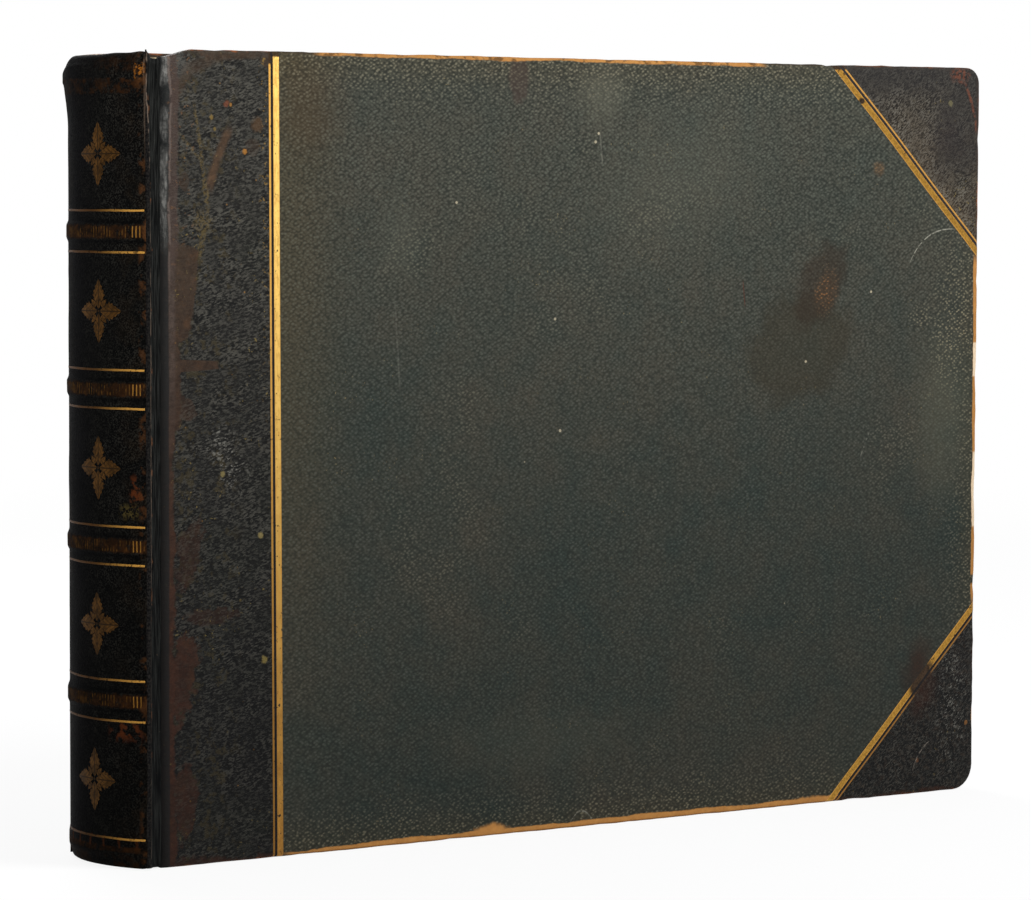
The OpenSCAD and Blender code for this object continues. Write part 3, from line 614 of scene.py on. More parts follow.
def gilt_look():
    """Gold leaf along the leather's edges: a thin line on it and a broad one beside it."""
    look = CoverLook("cover_gilt")
    z, front, noise, mix, base = look.z, look.front, look.noise, look.mix, look.base
    inside = look.inside
    broad = inside.step(0.1, -0.1)
    strip = look.u.step(80, 60)
    # Painted reflection: the gold is brighter towards the head and duller towards the tail, with some random
    # unevenness
    tone = z.step(0, 270) + (noise(9, 3, 0.6) - 0.5) * 0.4
    tone = tone.op("ADD", 0, clamp=True)
    brushed = noise(0.9, 3, 0.7)
    rays = noise(0.8, 2, 0.6, at=look.vector(look.x * MM, look.y * MM, z * (0.2 * MM)))
    wide = mix(tone, (136, 97, 46), (244, 200, 108))
    wide = mix((rays.step(0.45, 0.7) * 0.5 + brushed.step(0.5, 0.7) * 0.3) * strip, wide, (176, 128, 58))
    line = mix(tone, (122, 86, 40), (206, 156, 76))
    base(broad, line, wide)
    worn = mix(brushed.step(0.35, 0.65), (134, 98, 40), (168, 127, 55))
    sides = (inside - sum(BROAD) / 2).abs().step(0.85, 1.2)
    worn = mix(sides * 0.6, worn, (208, 152, 72))
    # Painted reflection: the fine line on a corner is brighter towards the head
    fine = mix(z.step(60, 220), (134, 95, 48), (190, 141, 70))
    corner = mix(broad, fine, worn)
    base(strip, corner, look.colour)
    base(sides * broad * strip * 0.35, look.colour, mix(tone, (120, 84, 40), (196, 140, 66)))
    below_head = HEIGHT - z - brushed * 2
    gone = look.spots(1.3, 0.62, 0.7, 3, 0.7).most(
        look.spots(4.5, 0.66, 0.72, 3, 0.7), look.blotch(357.8, 46, 5.2, 7, 0.35, 3, 0.3, 0.5) * front,
        look.blotch(358.7, 230.7, 4.2, 6.5, 0.5, 3, 0.5) * brushed.step(0.4, 0.56) * front,
        look.blotch(324.6, 276, 1.5, 1.2, 0.4, 2, 0.3) * front, below_head.step(1.6, 0.6),
        below_head.step(4.2, 3.2) * (1 - broad) * strip,
    )
    dirt = mix(look.spots(0.8, 0.35, 0.65, 2, 0.6), (26, 22, 20), (54, 42, 34))
    base(gone * 0.97, look.colour, dirt)
    height = brushed + noise(0.35, 1) * 0.4
    return look.finish(gone * 0.35 + 0.38, height, 0.07, 0.05, (1 - gone) * 0.9)


def spine_gilt_look():
    """Old dull gold on the spine: veined fleurons, and lines that are brightest beside the joint."""
    look = Look("spine_gilt")
    z = look.z
    turn = spine_turn(look)
    shift = FLEURON_SHIFTS[0]
    for low, high, band in zip(FLEURON_SHIFTS, FLEURON_SHIFTS[1:], BANDS):
        shift = shift + z.step(band - 1, band + 1) * (high - low)
    beside = (turn * (math.pi / 180 * SPINE_R) - shift).abs()
    pitch = PANELS[1] - PANELS[0]
    above = (((z - PANELS[0]) / pitch + 0.5).op("FRACT") - 0.5).abs() * pitch
    on_fleuron = above.step(12.4, 11.8)
    look.base(look.spots(3, 0.3, 0.7, 3, 0.7), (56, 37, 14), (94, 64, 29))
    ribs = ((above.most(beside) + above.least(beside) * 1.6) * 2.6).op("SINE").step(0.35, 0.95)
    veins = above.least(beside).step(0.34, 0.14).most(ribs * 0.65)
    look.lay(veins * on_fleuron * 0.85, 30, 22, 12)
    line = look.mix(turn.step(2, 31), (72, 46, 18), (196, 144, 66))
    look.base(on_fleuron, line, look.colour)
    gone = look.spots(1.2, 0.58, 0.66, 3, 0.7).most(look.spots(6, 0.6, 0.7, 3, 0.6) * 0.8)
    look.lay(gone * 0.85, 32, 24, 16)
    # Painted shade: darker towards the tail
    look.lay(1 - (z.step(-40, 250) * 0.4 + 0.6), 0, 0, 0)
    metal = (1 - gone) * (1 - on_fleuron) * turn.step(0, 25) * 0.3
    return look.finish(gone * 0.3 + 0.42, look.noise(0.9), 0.05, 0.02, metal)


def paper_look(name, base, tint, marbled_side=0):
    """Paper with foxing. Where marbled_side is -1 or 1, the face that way along Y is marbled."""
    look = Look(name)
    if marbled_side:
        marbled = marble(look)
    fibres = look.noise(0.6, 3, 0.7)
    look.base(look.noise(90, 3, 0.6), base, tint)
    look.lay(fibres * 0.18, 150, 124, 84)
    foxing = look.spots(2.6, 0.66, 0.74, 3, 0.7) * look.spots(45, 0.45, 0.7)
    look.lay(foxing * 0.5, 166, 118, 68)
    if marbled_side:
        normal = look.node("ShaderNodeSeparateXYZ")
        look.put(normal.inputs[0], look.node("ShaderNodeTexCoord").outputs["Normal"])
        facing = (Field(look, normal.outputs[1]) * marbled_side).step(0.2, 0.6)
        look.base(facing, look.colour, marbled)
    return look.finish(0.78, fibres, 0.03, 0.25)


def marble(look):
    """Colour of plain marbled paper: drops of brick and slate drawn out between pale veins."""
    noise, lay = look.noise, look.lay
    warp = noise(34, 2, 0.5, warp=1.2)
    pull = look.vector(look.x * MM + warp * (26 * MM), look.z * (0.55 * MM) + noise(18, 1) * (8 * MM), 0)
    drops = noise(9, 3, 0.55, warp=1.4, at=pull)
    veins = look.cells(8, "DISTANCE_TO_EDGE", at=pull)
    look.base(drops.step(0.42, 0.5), (56, 66, 72), (122, 56, 44))
    lay(drops.step(0.56, 0.62), 168, 128, 78)
    lay(veins.step(0.1, 0.03) * 0.8, 206, 188, 150)
    lay(look.spots(1.2, 0.62, 0.68) * 0.5, 204, 186, 150)
    lay(noise(60, 3) * 0.35, 120, 96, 64)
    return look.colour


def pastedown_look():
    look = Look("marbled_paste_paper")
    marble(look)
    edge = (FORE_X - 5 - look.x).least(look.z - 5).least(HEIGHT - 5 - look.z)
    look.lay(edge.step(6, 0) * 0.5, 96, 76, 50)
    return look.finish(0.55, look.noise(0.7, 3, 0.7), 0.03, 0.35)


def layered(look, size):
    """Noise drawn out along the sheets, as the plies of card show at a cut edge."""
    sheets = look.vector(look.x * (0.1 * MM), look.y * MM, look.z * (0.1 * MM))
    return look.noise(size, 2, 0.6, at=sheets)


def card_look():
    """Cream card of an album leaf: toned towards its edges, lightly foxed, with the marks of old paste."""
    look = Look("leaf_card")
    x, z, noise, spots, lay = look.x, look.z, look.noise, look.spots, look.lay
    edge = (LEAF_X1 - x).least(z - LEAF_Z0).least(LEAF_Z1 - z)
    fibres = noise(0.8, 3, 0.7)
    look.base(noise(80, 3, 0.6), (216, 203, 172), (202, 186, 150))
    lay(edge.step(34, 2) * 0.5, 180, 154, 108)
    lay(fibres * 0.2, 156, 132, 92)
    foxing = spots(2.4, 0.67, 0.74, 3, 0.7) * spots(50, 0.48, 0.7)
    lay(foxing * 0.55, 158, 108, 60)
    wide, tall = (x - 16).abs(), (z - MIDDLE).abs()
    mount = (wide - 108).most(tall - 84).abs().step(1.1, 0.3) * spots(30, 0.38, 0.6)
    paste = (wide - 96).abs().most((tall - 72).abs()).step(9, 6) * spots(5, 0.42, 0.6, 3, 0.7)
    lay(mount * 0.3 + paste * 0.3, 150, 118, 72)
    side = edge.step(0.5, 0.15)
    plies = layered(look, 0.5)
    trim = look.mix(noise(4), (176, 152, 108), (206, 186, 146))
    trim = look.mix(plies.step(0.45, 0.7) * 0.6, trim, (120, 94, 60))
    dust = z.step(283, 287) * 0.45
    trim = look.mix(dust, trim, (92, 80, 64))
    look.base(side, look.colour, trim)
    return look.finish(0.85, fibres + plies * side, 0.05, 0.2)


def woven_look(name, warm, cool, pitch, uv=False):
    """Plain weave of a linen, tape or backing cloth."""
    look = Look(name, uv=uv)
    a, b = (look.x, look.y) if uv else (look.x + look.y, look.z)
    weft = (a * (math.pi / pitch)).op("SINE")
    warp = (b * (math.pi / pitch)).op("SINE")
    weave = (weft * warp) * 0.5 + 0.5
    slub = look.noise(pitch * 3, 2, 0.6)
    look.base(weave * 0.6 + slub * 0.4, cool, warm)
    look.lay(look.spots(25, 0.5, 0.75, 3, 0.6) * 0.4, 126, 100, 66)
    return look.finish(0.88, weave + slub * 0.5, 0.1, 0.2)


def board_look():
    """Grey-brown millboard with flecks in it."""
    look = Look("millboard")
    look.base(look.noise(1.2, 3, 0.7), (186, 142, 88), (140, 104, 66))
    look.lay(look.spots(0.7, 0.7, 0.76, 1) * 0.6, 84, 62, 42)
    return look.finish(0.9, look.noise(0.9, 3, 0.7), 0.08, 0.2)


def guard_look():
    """Edges of the card guards, faintly layered."""
    look = Look("card_guards")
    plies = layered(look, 0.45)
    look.base(plies, (204, 188, 152), (150, 126, 86))
    look.lay(look.z.step(280, 287) * 0.5, 104, 90, 68)
    return look.finish(0.88, plies, 0.05, 0.2)


def silk_look():
    """Headband silk wound in turns of two colours."""
    look = Look("headband_silk")
    turns = (look.y * (2 * math.pi / 3.2)).op("SINE")
    thread = (look.y * (2 * math.pi / 0.53)).op("SINE") * 0.5 + 0.5
    look.base(turns.step(-0.12, 0.12), (138, 52, 40), (204, 184, 138))
    look.lay(thread.step(0.35, 0) * 0.6, 60, 34, 24)
    look.lay(look.spots(6, 0.45, 0.75) * 0.4, 110, 88, 60)
    return look.finish(0.5, thread, 0.08, 0.4)


def add_piece(name, verts, faces, body, material, slot, uvs=None, solid=False):
    """A smooth-shaded piece from vertices in mm. solid turns the faces of a closed mesh outwards."""
    mesh = bpy.data.meshes.new(name)
    # The album stands on the floor, and nothing goes below it
    mesh.from_pydata([(x * MM, y * MM, max(0, z) * MM) for x, y, z in verts], [], faces)
    if solid:
        bm = bmesh.new()
        bm.from_mesh(mesh)
        bmesh.ops.recalc_face_normals(bm, faces=bm.faces)
        bm.to_mesh(mesh)
        bm.free()
    if uvs is not None:
        layer = mesh.uv_layers.new(name="UVMap")
        for loop in mesh.loops:
            layer.data[loop.index].uv = uvs[loop.vertex_index]
    mesh.shade_smooth()
    mesh.materials.append(material)
    piece = bpy.data.objects.new(name, mesh)
    bpy.context.scene.collection.objects.link(piece)
    if body:
        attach(piece, body)
    return piece


def grid_faces(rows, columns, start=0, flip=False, closed=False):
    """Faces between rows of vertices; closed joins the last column to the first."""
    faces = []
    for i in range(rows - 1):
        for j in range(columns if closed else columns - 1):
            k = (j + 1) % columns
            a, b = start + i * columns + j, start + i * columns + k
            face = (a, b, b + columns, a + columns)
            faces.append(tuple(reversed(face)) if flip else face)
    return faces


def cut(bm, point, normal, near=None):
    """Cuts faces along a plane; near picks the faces by their middle."""
    faces = [f for f in bm.faces if near is None or near(f.calc_center_median())]
    geometry = set(faces)
    for f in faces:
        geometry.update(f.edges)
        geometry.update(f.verts)
    bmesh.ops.bisect_plane(bm, geom=list(geometry), dist=1e-4, plane_co=point, plane_no=normal)


def plate(x0, x1, z0, z1, y_out, y_in, corner, round_out, round_in, step_x, step_z, segments):
    """A flat board in mm with its long edges rounded and its faces cut into a grid. y_out is its front.

    corner is the rounding of its two far corners, at the tail and at the head.
    """
    outline = [(x0, z0)]
    for size, z, side, a0 in ((corner[0], z0, 1, -90), (corner[1], z1, -1, 0)):
        for i in range(9 if size else 1):
            a = math.radians(a0 + 90 * i / 8)
            x = x1 - size + size * math.cos(a) if size else x1
            outline.append((x, z + side * size + size * math.sin(a)))
    outline.append((x0, z1))
    bm = bmesh.new()
    front = [bm.verts.new((x, y_out, z)) for x, z in outline]
    back = [bm.verts.new((x, y_in, z)) for x, z in outline]
    bm.faces.new(front)
    bm.faces.new(list(reversed(back)))
    count = len(outline)
    for i in range(count):
        j = (i + 1) % count
        bm.faces.new((front[j], front[i], back[i], back[j]))
    bmesh.ops.recalc_face_normals(bm, faces=bm.faces)
    for y, reach in ((y_out, round_out), (y_in, round_in)):
        edges = [e for e in bm.edges if all(abs(v.co.y - y) < 1e-6 for v in e.verts)]
        bmesh.ops.bevel(bm, geom=edges, offset=reach, segments=segments, profile=0.5, affect="EDGES")
    for low, high, step, axis in ((x0, x1, step_x, (1, 0, 0)), (z0, z1, step_z, (0, 0, 1))):
        count = max(1, round((high - low) / step))
        for i in range(1, count):
            place = low + (high - low) * i / count
            cut(bm, [c * place for c in axis], axis)
    return bm


def mesh_lists(bm, keep=None):
    """Vertices and faces of a bmesh, or of the faces that keep picks."""
    faces = [f for f in bm.faces if keep is None or keep(f)]
    index, verts, out = {}, [], []
    for f in faces:
        for v in f.verts:
            if v not in index:
                index[v] = len(verts)
                verts.append(tuple(v.co))
        out.append(tuple(index[v] for v in f.verts))
    return verts, out


def add_side_piece(name, bm, sign, body, material, slot, keep=None):
    """A piece of one side from a bmesh of the front, or from the faces of it that keep picks."""
    return add_piece(name, *mirrored(*mesh_lists(bm, keep), sign), body, material, slot)


def mirrored(verts, faces, sign):
    """The front's mesh as it is for sign -1, or turned over to the back for sign 1."""
    if sign < 0:
        return verts, faces
    return [(x, -y, z) for x, y, z in verts], [tuple(reversed(f)) for f in faces]


def seam_distances(x, z):
    """How far a place on a cover lies inside the leather strip, and inside the nearer corner leather."""
    leg = (FORE_X - x) + min(z, HEIGHT - z)
    return LEATHER_REACH - (x - COVER_X0), (CORNER_LEG - leg) / ROOT2


def cover_region(face):
    middle = face.calc_center_median()
    strip, corner = seam_distances(middle.x, middle.z)
    on_face = middle.y < -HALF_THICK + 0.9
    for inside, fine in ((strip, STRIP_FINE), (corner, CORNER_FINE)):
        if on_face and (fine[0] < inside < fine[1] or BROAD[1] < inside < BROAD[0]):
            return "gilt_fillets"
    if strip > 0:
        return "leather"
    if corner > 0:
        return "corner_head" if middle.z > MIDDLE else "corner_tail"
    return "cloth_side"


# Places along the front cover's edges where the covering is chipped: x, z, reach, depth
CHIPS = (
    (-163, 290, 4, 0.5), (-80, 290, 7, 0.4), (15, 290, 5, 0.45), (123, 290, 6, 0.9),
    (151, 290, 2.5, -0.5), (138, 0, 6, 0.5), (60, 0, 9, 0.35), (-60, 0, 12, 0.35),
    (200.8, 262, 5, 0.5), (200.8, 205, 4, 0.6), (200.8, 166, 9, 0.4), (200.8, 120, 15, 0.45),
    (200.8, 84, 5, 0.5), (200.8, 62, 3, -0.35), (200.8, 30, 7, 0.4), (-120, 290, 9, 0.3),
)


def head_dip(u, z):
    """How far the head of a cover droops beside its joint."""
    return 2.9 * smooth(15, 0, u) * smooth(HEIGHT - 10, HEIGHT, z)


def wear_cover(bm, front):
    """Sets the cloth a little over the leather, waves the board and rubs down its edges, all in mm."""
    bm.normal_update()
    phase = 0 if front else 300
    moves = []
    for v in bm.verts:
        x, y, z = v.co
        u = x - COVER_X0
        strip, corner = seam_distances(x, z)
        outside = smooth(2.2, 0.5, y + HALF_THICK)
        edge = min(FORE_X - x, z, HEIGHT - z)
        sunk = 0.22 * smooth(-0.3, 0.3, max(strip, corner)) * outside
        sunk += 0.7 * smooth(2.2, 0, u) * outside
        wave = 0.16 * wobble(x + phase, 0, z, 90) * smooth(0, 12, edge) * outside
        nibble = 0
        if edge < 2:
            nibble = 0.16 * wobble(x + phase, y, z, 5) + 0.12 * wobble(x - phase, y, z, 13) + 0.06
            if front:
                for cx, cz, reach, depth in CHIPS:
                    away = math.hypot(x - cx, z - cz)
                    if away < reach:
                        nibble += depth * (1 - away / reach) ** 2 * (0.6 + 0.4 * outside)
        dip = head_dip(u, z)
        end = min(z, HEIGHT - z)
        turned = smooth(SEAM_FADE, 0, abs(u - COVER_WIDTH + CORNER_LEG)) * smooth(SEAM_FADE, 0, end)
        raised = smooth(COVER_WIDTH - SEAM_FADE, COVER_WIDTH, u) * (-1 if z < MIDDLE else 1)
        raised *= smooth(SEAM_FADE, 0, abs(end - CORNER_LEG))
        seam_turn = Vector((-SEAM_TURN[0] * turned, 0, SEAM_TURN[1] * raised))
        moves.append(Vector((0, sunk + wave, -dip)) + seam_turn - v.normal * nibble * smooth(2, 0.4, edge))
    skew = 1 if front else -0.6
    for v, move in zip(bm.verts, moves):
        v.co += move
        u, tilt = v.co.x - COVER_X0, (v.co.z - MIDDLE) / MIDDLE
        lean = 0.8 * smooth(200, COVER_WIDTH, u)
        lean -= 0.85 * smooth(0, LEATHER_REACH, u) * smooth(200, LEATHER_REACH, u)
        v.co.x += skew * lean * tilt
        hollow = 0.25 * math.sin(math.pi * min(1, max(0, v.co.z / HEIGHT)))
        v.co.x -= skew * hollow * smooth(300, COVER_WIDTH, u)


def cover_shell(front):
    """The whole covering of a cover, open inside where the pasted paper lies, as the front one."""
    corners = FRONT_CORNERS if front else BACK_CORNERS
    bm = plate(COVER_X0, FORE_X, 0, HEIGHT, -HALF_THICK, -TURN_IN_Y, corners, 1.3, 0.7, 3.4, 3.2, 4)
    for inside in (*STRIP_FINE, 0, *BROAD):
        cut(bm, (COVER_X0 + LEATHER_REACH - inside, 0, 0), (1, 0, 0))
    for inside in (*CORNER_FINE, 0, *BROAD):
        leg = CORNER_LEG - inside * ROOT2
        for z, sign in ((0, 1), (HEIGHT, -1)):
            def near(c, z=z):
                return (FORE_X - c.x) + abs(c.z - z) < CORNER_LEG + 12 and c.x > 100
            cut(bm, (FORE_X - leg, 0, z), (1, 0, -sign), near)
    window = [
        f for f in bm.faces
        if f.normal.y > 0.9 and f.calc_center_median().x < FORE_X - TURN_IN
        and TURN_IN < f.calc_center_median().z < HEIGHT - TURN_IN
    ]
    bmesh.ops.delete(bm, geom=window, context="FACES")
    for row in (0.5, 1, 2.2):
        cut(bm, (COVER_X0 + row, 0, 0), (1, 0, 0))
    regions = []
    for index, f in enumerate(bm.faces):
        f.material_index = index
        regions.append(cover_region(f))
    wear_cover(bm, front)
    return bm, regions


def build_cover(side, sign, looks):
    body = f"{side}_cover"
    bm, regions = cover_shell(sign < 0)
    for region, look in (
        ("cloth_side", "cloth"), ("leather", "leather"), ("corner_head", "leather"),
        ("corner_tail", "leather"), ("gilt_fillets", "gilt"),
    ):
        def in_region(face, region=region):
            return regions[face.material_index] == region
        piece = add_side_piece(f"{side}_{region}_dressed", bm, sign, body, looks[look], look, in_region)
        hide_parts(f"{side}_{region}")
    bm.free()
    # The board inside, rounded so that it stays under its covering
    corners = [size - 0.6 for size in (FRONT_CORNERS if sign < 0 else BACK_CORNERS)]
    inset = 0.7
    bm = plate(
        COVER_X0 + inset, FORE_X - inset, inset, HEIGHT - inset, *BOARD_FACES, corners, 0.9, 0.5, 60, 60, 3
    )
    for reach in (0.8, 4, 8, 15):
        cut(bm, (COVER_X0 + reach, 0, 0), (1, 0, 0))
    for v in bm.verts:
        v.co.z -= head_dip(v.co.x - COVER_X0, min(HEIGHT, v.co.z + inset)) * 1.08
    piece = add_side_piece(f"{side}_board_inside", bm, sign, body, looks["board"], "board")
    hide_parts(f"{side}_board")
    bm.free()
    # The pasted paper sinks where the turned-in covering ends below it
    margin, faces_y = 5, (-22.62, -PASTEDOWN_Y)
    far, high = FORE_X - margin, HEIGHT - margin
    bm = plate(COVER_X0 + 0.5, far, margin, high, *faces_y, (0, 0), 0.07, 0.07, 6, 6, 1)
    for inner in (TURN_IN + 0.4, TURN_IN + 1.6):
        cut(bm, (FORE_X - inner, 0, 0), (1, 0, 0))
        for place in (inner, HEIGHT - inner):
            cut(bm, (0, 0, place), (0, 0, 1))
    for v in bm.verts:
        inner = min(FORE_X - v.co.x, v.co.z, HEIGHT - v.co.z)
        sunk = 0.05 + 0.22 * smooth(TURN_IN + 0.5, TURN_IN + 1.5, inner)
        v.co.y += 0.05 * wobble(v.co.x, 0, v.co.z, 24) - sunk
    piece = add_side_piece(f"{side}_pastedown_paper", bm, sign, body, looks["pastedown"], "marbled_paper")
    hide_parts(f"{side}_pastedown")
    bm.free()


def build_flyleaf(side, sign, looks):
    faces_y = (-FLYLEAF_Y - FLYLEAF_THICK, -FLYLEAF_Y)
    bm = plate(FLYLEAF_X0, LEAF_X1, LEAF_Z0, LEAF_Z1, *faces_y, (0, 0), 0.06, 0.06, 9, 9, 1)
    for reach in range(1, 8):
        cut(bm, (FLYLEAF_X0 + reach, 0, 0), (1, 0, 0))
    for v in bm.verts:
        v.co.y += 0.07 * wobble(v.co.x, 0, v.co.z, 60) * smooth(0, 30, v.co.x - FLYLEAF_X0)
        edge = min(LEAF_X1 - v.co.x, v.co.z - LEAF_Z0, LEAF_Z1 - v.co.z)
        if edge < 0.5:
            v.co.z -= math.copysign(0.35, v.co.z - MIDDLE) * (0.5 + 0.5 * wobble(v.co.x, 0, v.co.z, 11))
            v.co.x -= 0.35 * (0.5 + 0.5 * wobble(v.co.x, 0, v.co.z, 9)) * smooth(150, 190, v.co.x)
    piece = add_side_piece(f"{side}_flyleaf_paper", bm, sign, None, looks[f"{side}_fly"], "marbled_paper")
    bm.free()
    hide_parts(f"{side}_flyleaf")
    # The start and end of its root by the gutter, in metres
    root, y = (FLYLEAF_X0 + 0.4) * MM, sign * 0.022
    start, end = (root, y, 0.145), (root + 0.0066, y, 0.145)
    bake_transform(piece)
    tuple(start)
    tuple(end)


def build_leaf(i, looks):
    """A stiff card, a little warped, on a strip of linen from its guard."""
    name, y = f"leaf_{i:02d}", leaf_y(i)
    half = LEAF_THICK / 2
    bm = plate(CARD_X0, LEAF_X1, LEAF_Z0, LEAF_Z1, y - half, y + half, (1.2, 1.2), 0.28, 0.28, 26, 24, 2)
    short = 0.35 + 0.35 * wobble(i * 3.7, 0, 0, 2)
    high = 0.25 * wobble(i * 5.1, 0, 9, 2)
    for v in bm.verts:
        x, z = v.co.x, v.co.z
        v.co.y += 0.1 * wobble(x, 0, z, 120) + 0.04 * wobble(x, i * 9, z, 50)
        v.co.x -= short * smooth(100, LEAF_X1, x)
        v.co.z += high if abs(z - MIDDLE) > 100 else 0
    card = add_side_piece(f"{name}_card", bm, -1, name, looks["card"], "leaf_card")
    bm.free()
    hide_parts(name)
    # The linen runs from inside its guard to inside the card
    wide, tall = 14, 9
    count, last = wide * tall, wide * (tall - 1)
    xs = [LEAF_AXIS_X - 1.2 + k for k in range(wide)]
    zs = [LEAF_Z0 + 0.4 + (LEAF_Z1 - LEAF_Z0 - 0.8) * k / (tall - 1) for k in range(tall)]
    verts = [(x, y + side * 0.14, z) for side in (-1, 1) for z in zs for x in xs]
    uvs = [(x * MM, z * MM) for x, _, z in verts]
    rim = [*range(wide), *range(2 * wide - 1, count, wide)]
    rim += [*range(count - 2, last, -1), *range(last, 0, -wide)]
    faces = grid_faces(tall, wide) + grid_faces(tall, wide, count, flip=True)
    faces += [(b, a, count + a, count + b) for a, b in zip(rim, rim[1:] + rim[:1])]
    linen = add_piece(f"{name}_linen", verts, faces, None, looks["linen"], "linen", uvs, solid=True)
    start, end = (LEAF_AXIS_X - 0.6, y, MIDDLE), (LEAF_AXIS_X + 3.5, y, MIDDLE)
    [c * MM for c in start]
    [c * MM for c in end]
    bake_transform(linen)


def spine_rise(z):
    """Height of the bands and rolls over the panels at a height up the spine."""
    rise = 0
    for band in BANDS:
        rise = max(rise, BAND_RISE * smooth(4.2, 1.9, abs(z - band)))
    for roll in (ROLL_Z, HEIGHT - ROLL_Z):
        rise = max(rise, ROLL_RISE * smooth(4.2, 2.2, abs(z - roll)))
    return rise


def spine_fall(z):
    """How far the worn head and tail of the spine are rounded in at a height."""
    for end, reach, depth in ((z, 7, 1.6), (HEIGHT - z, 5, 2.4)):
        if end < reach:
            return depth * (1 - math.sqrt(max(0, 1 - (1 - end / reach) ** 2)))
    return 0


def spine_place(r, turn, z):
    """Place at a distance from the spine's axis and an angle in degrees from its middle."""
    a = math.radians(turn)
    return SPINE_X - r * math.cos(a), -r * math.sin(a), z


def spine_surface(turn, z, lift=0):
    """Place on the spine's leather at an angle in degrees from its middle, towards the front cover."""
    r = SPINE_R + spine_rise(z) * (1 - 0.4 * smooth(24, 31, abs(turn))) - spine_fall(z) + lift
    # The head of the spine has spread where fingers pull the album from a shelf
    r += (0.3 + 1.3 * smooth(30.5, 26.5, abs(turn))) * smooth(262, 281, z)
    near_edge = smooth(22, 31, abs(turn))
    r += 0.16 * wobble(turn * 1.2, 0, z, 26) + 0.05 * wobble(turn * 1.2, 5, z, 5) * (0.4 + near_edge)
    r -= 0.25 * smooth(26.5, 31.5, abs(turn)) * (1 + wobble(0, turn, z, 14)) * 0.5
    return spine_place(r, turn, z)


def spine_heights():
    stops = {0, 0.25, 0.7, 1.3, 2, 2.8, 3.6}
    stops |= {HEIGHT - s for s in stops}
    for middle, reach in [(b, 4.2) for b in BANDS] + [(ROLL_Z, 3.4), (HEIGHT - ROLL_Z, 3.4)]:
        count = int(reach * 2 / 0.55)
        stops |= {round(middle - reach + 2 * reach * k / count, 3) for k in range(count + 1)}
    k = 5
    while k < HEIGHT - 4:
        if all(abs(k - s) > 0.9 for s in stops):
            stops.add(k)
        k += 2.2
    return sorted(stops)


# The leather turned over at head and tail, from its inner rim outwards, as pairs of
# depth from the end and reach from the outside
CAP_ROWS = ((1.1, 5), (0.6, 5.05), (0.2, 4.7), (0, 4), (0, 3.2))


def build_spine(looks):
    """The leather over the spine, turned over the headbands at head and tail."""
    columns = 57
    turns = [-SPINE_ANGLE + 2 * SPINE_ANGLE * j / (columns - 1) for j in range(columns)]

    def cap_row(depth, inward, at_head):
        row = []
        for t in turns:
            taper = 0.1 + 0.9 * smooth(SPINE_ANGLE, SPINE_ANGLE - 4.5, abs(t))
            r = SPINE_R - 2.6 - (inward - 2.6) * taper
            z = depth + 0.06 * wobble(t, 0, depth, 6)
            row.append(spine_place(r, t, HEIGHT - z if at_head else z))
        return row

    rows = [cap_row(d, inward, False) for d, inward in CAP_ROWS]
    rows += [[spine_surface(t, z) for t in turns] for z in spine_heights()]
    rows += [cap_row(d, inward, True) for d, inward in reversed(CAP_ROWS)]
    verts = []
    for row in rows:
        for t, (x, y, z) in zip(turns, row):
            sink = 0.9 * smooth(28, SPINE_ANGLE, t) * smooth(HEIGHT - 9, HEIGHT, z)
            sink -= 0.36 * smooth(28, SPINE_ANGLE, abs(t)) * smooth(9, 0, z)
            worn = 0.8 + 1.1 * smooth(27, 6, t) + 0.6 * smooth(31, 24, t) * smooth(14, 24, t)
            sink += worn * smooth(HEIGHT - 12, HEIGHT, z)
            sink += 6 * ((-14 - min(-14, t)) / 17.5) ** 1.8 * smooth(HEIGHT - 20, HEIGHT, z)
            verts.append((x, y, z - sink))
    faces = grid_faces(len(rows), columns)
    piece = add_piece("spine_leather_dressed", verts, faces, "spine", looks["spine"], "leather")
    thick = piece.modifiers.new("thick", "SOLIDIFY")
    thick.thickness, thick.offset = 0.5 * MM, -1
    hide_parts("spine_leather")


def build_stiffener(looks):
    """The card that stiffens the spine, short of the worn ends of the leather."""
    columns, outer, inner, angle = 41, 48.92, 47.55, SPINE_ANGLE - 2.2
    verts = []
    for r, z in ((inner, 6), (outer, 6), (outer, HEIGHT - 5), (inner, HEIGHT - 5)):
        for j in range(columns):
            verts.append(spine_place(r, -angle + 2 * angle * j / (columns - 1), z))
    faces = grid_faces(4, columns)
    faces += [(j, j + 1, 3 * columns + j + 1, 3 * columns + j) for j in range(columns - 1)]
    faces += [tuple(k * columns + j for k in range(4)) for j in (0, columns - 1)]
    piece = add_piece(
        "spine_stiffener_card", verts, faces, "spine", looks["stiffener"], "stiffener_card", solid=True
    )
    piece.data.shade_flat()
    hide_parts("spine_stiffener")


def on_spine(points, lift):
    """Maps (mm round the spine, mm of height) to the spine's surface."""
    return [spine_surface(math.degrees(s / SPINE_R), z, lift) for s, z in points]


# Half of a fleuron's petal and its bud, as shares of the petal's reach: across and along
PETAL_SIDE = (
    (0, 0.06), (0.04, 0.11), (0.1, 0.2), (0.16, 0.26), (0.13, 0.31), (0.24, 0.37), (0.21, 0.42), (0.3, 0.5),
    (0.23, 0.55), (0.25, 0.63), (0.16, 0.69), (0.17, 0.77), (0.09, 0.83), (0.06, 0.92), (0, 1),
)
BUD = ((-0.05, 0.2), (0.05, 0.2), (0.09, 0.36), (0, 0.52), (-0.09, 0.36))


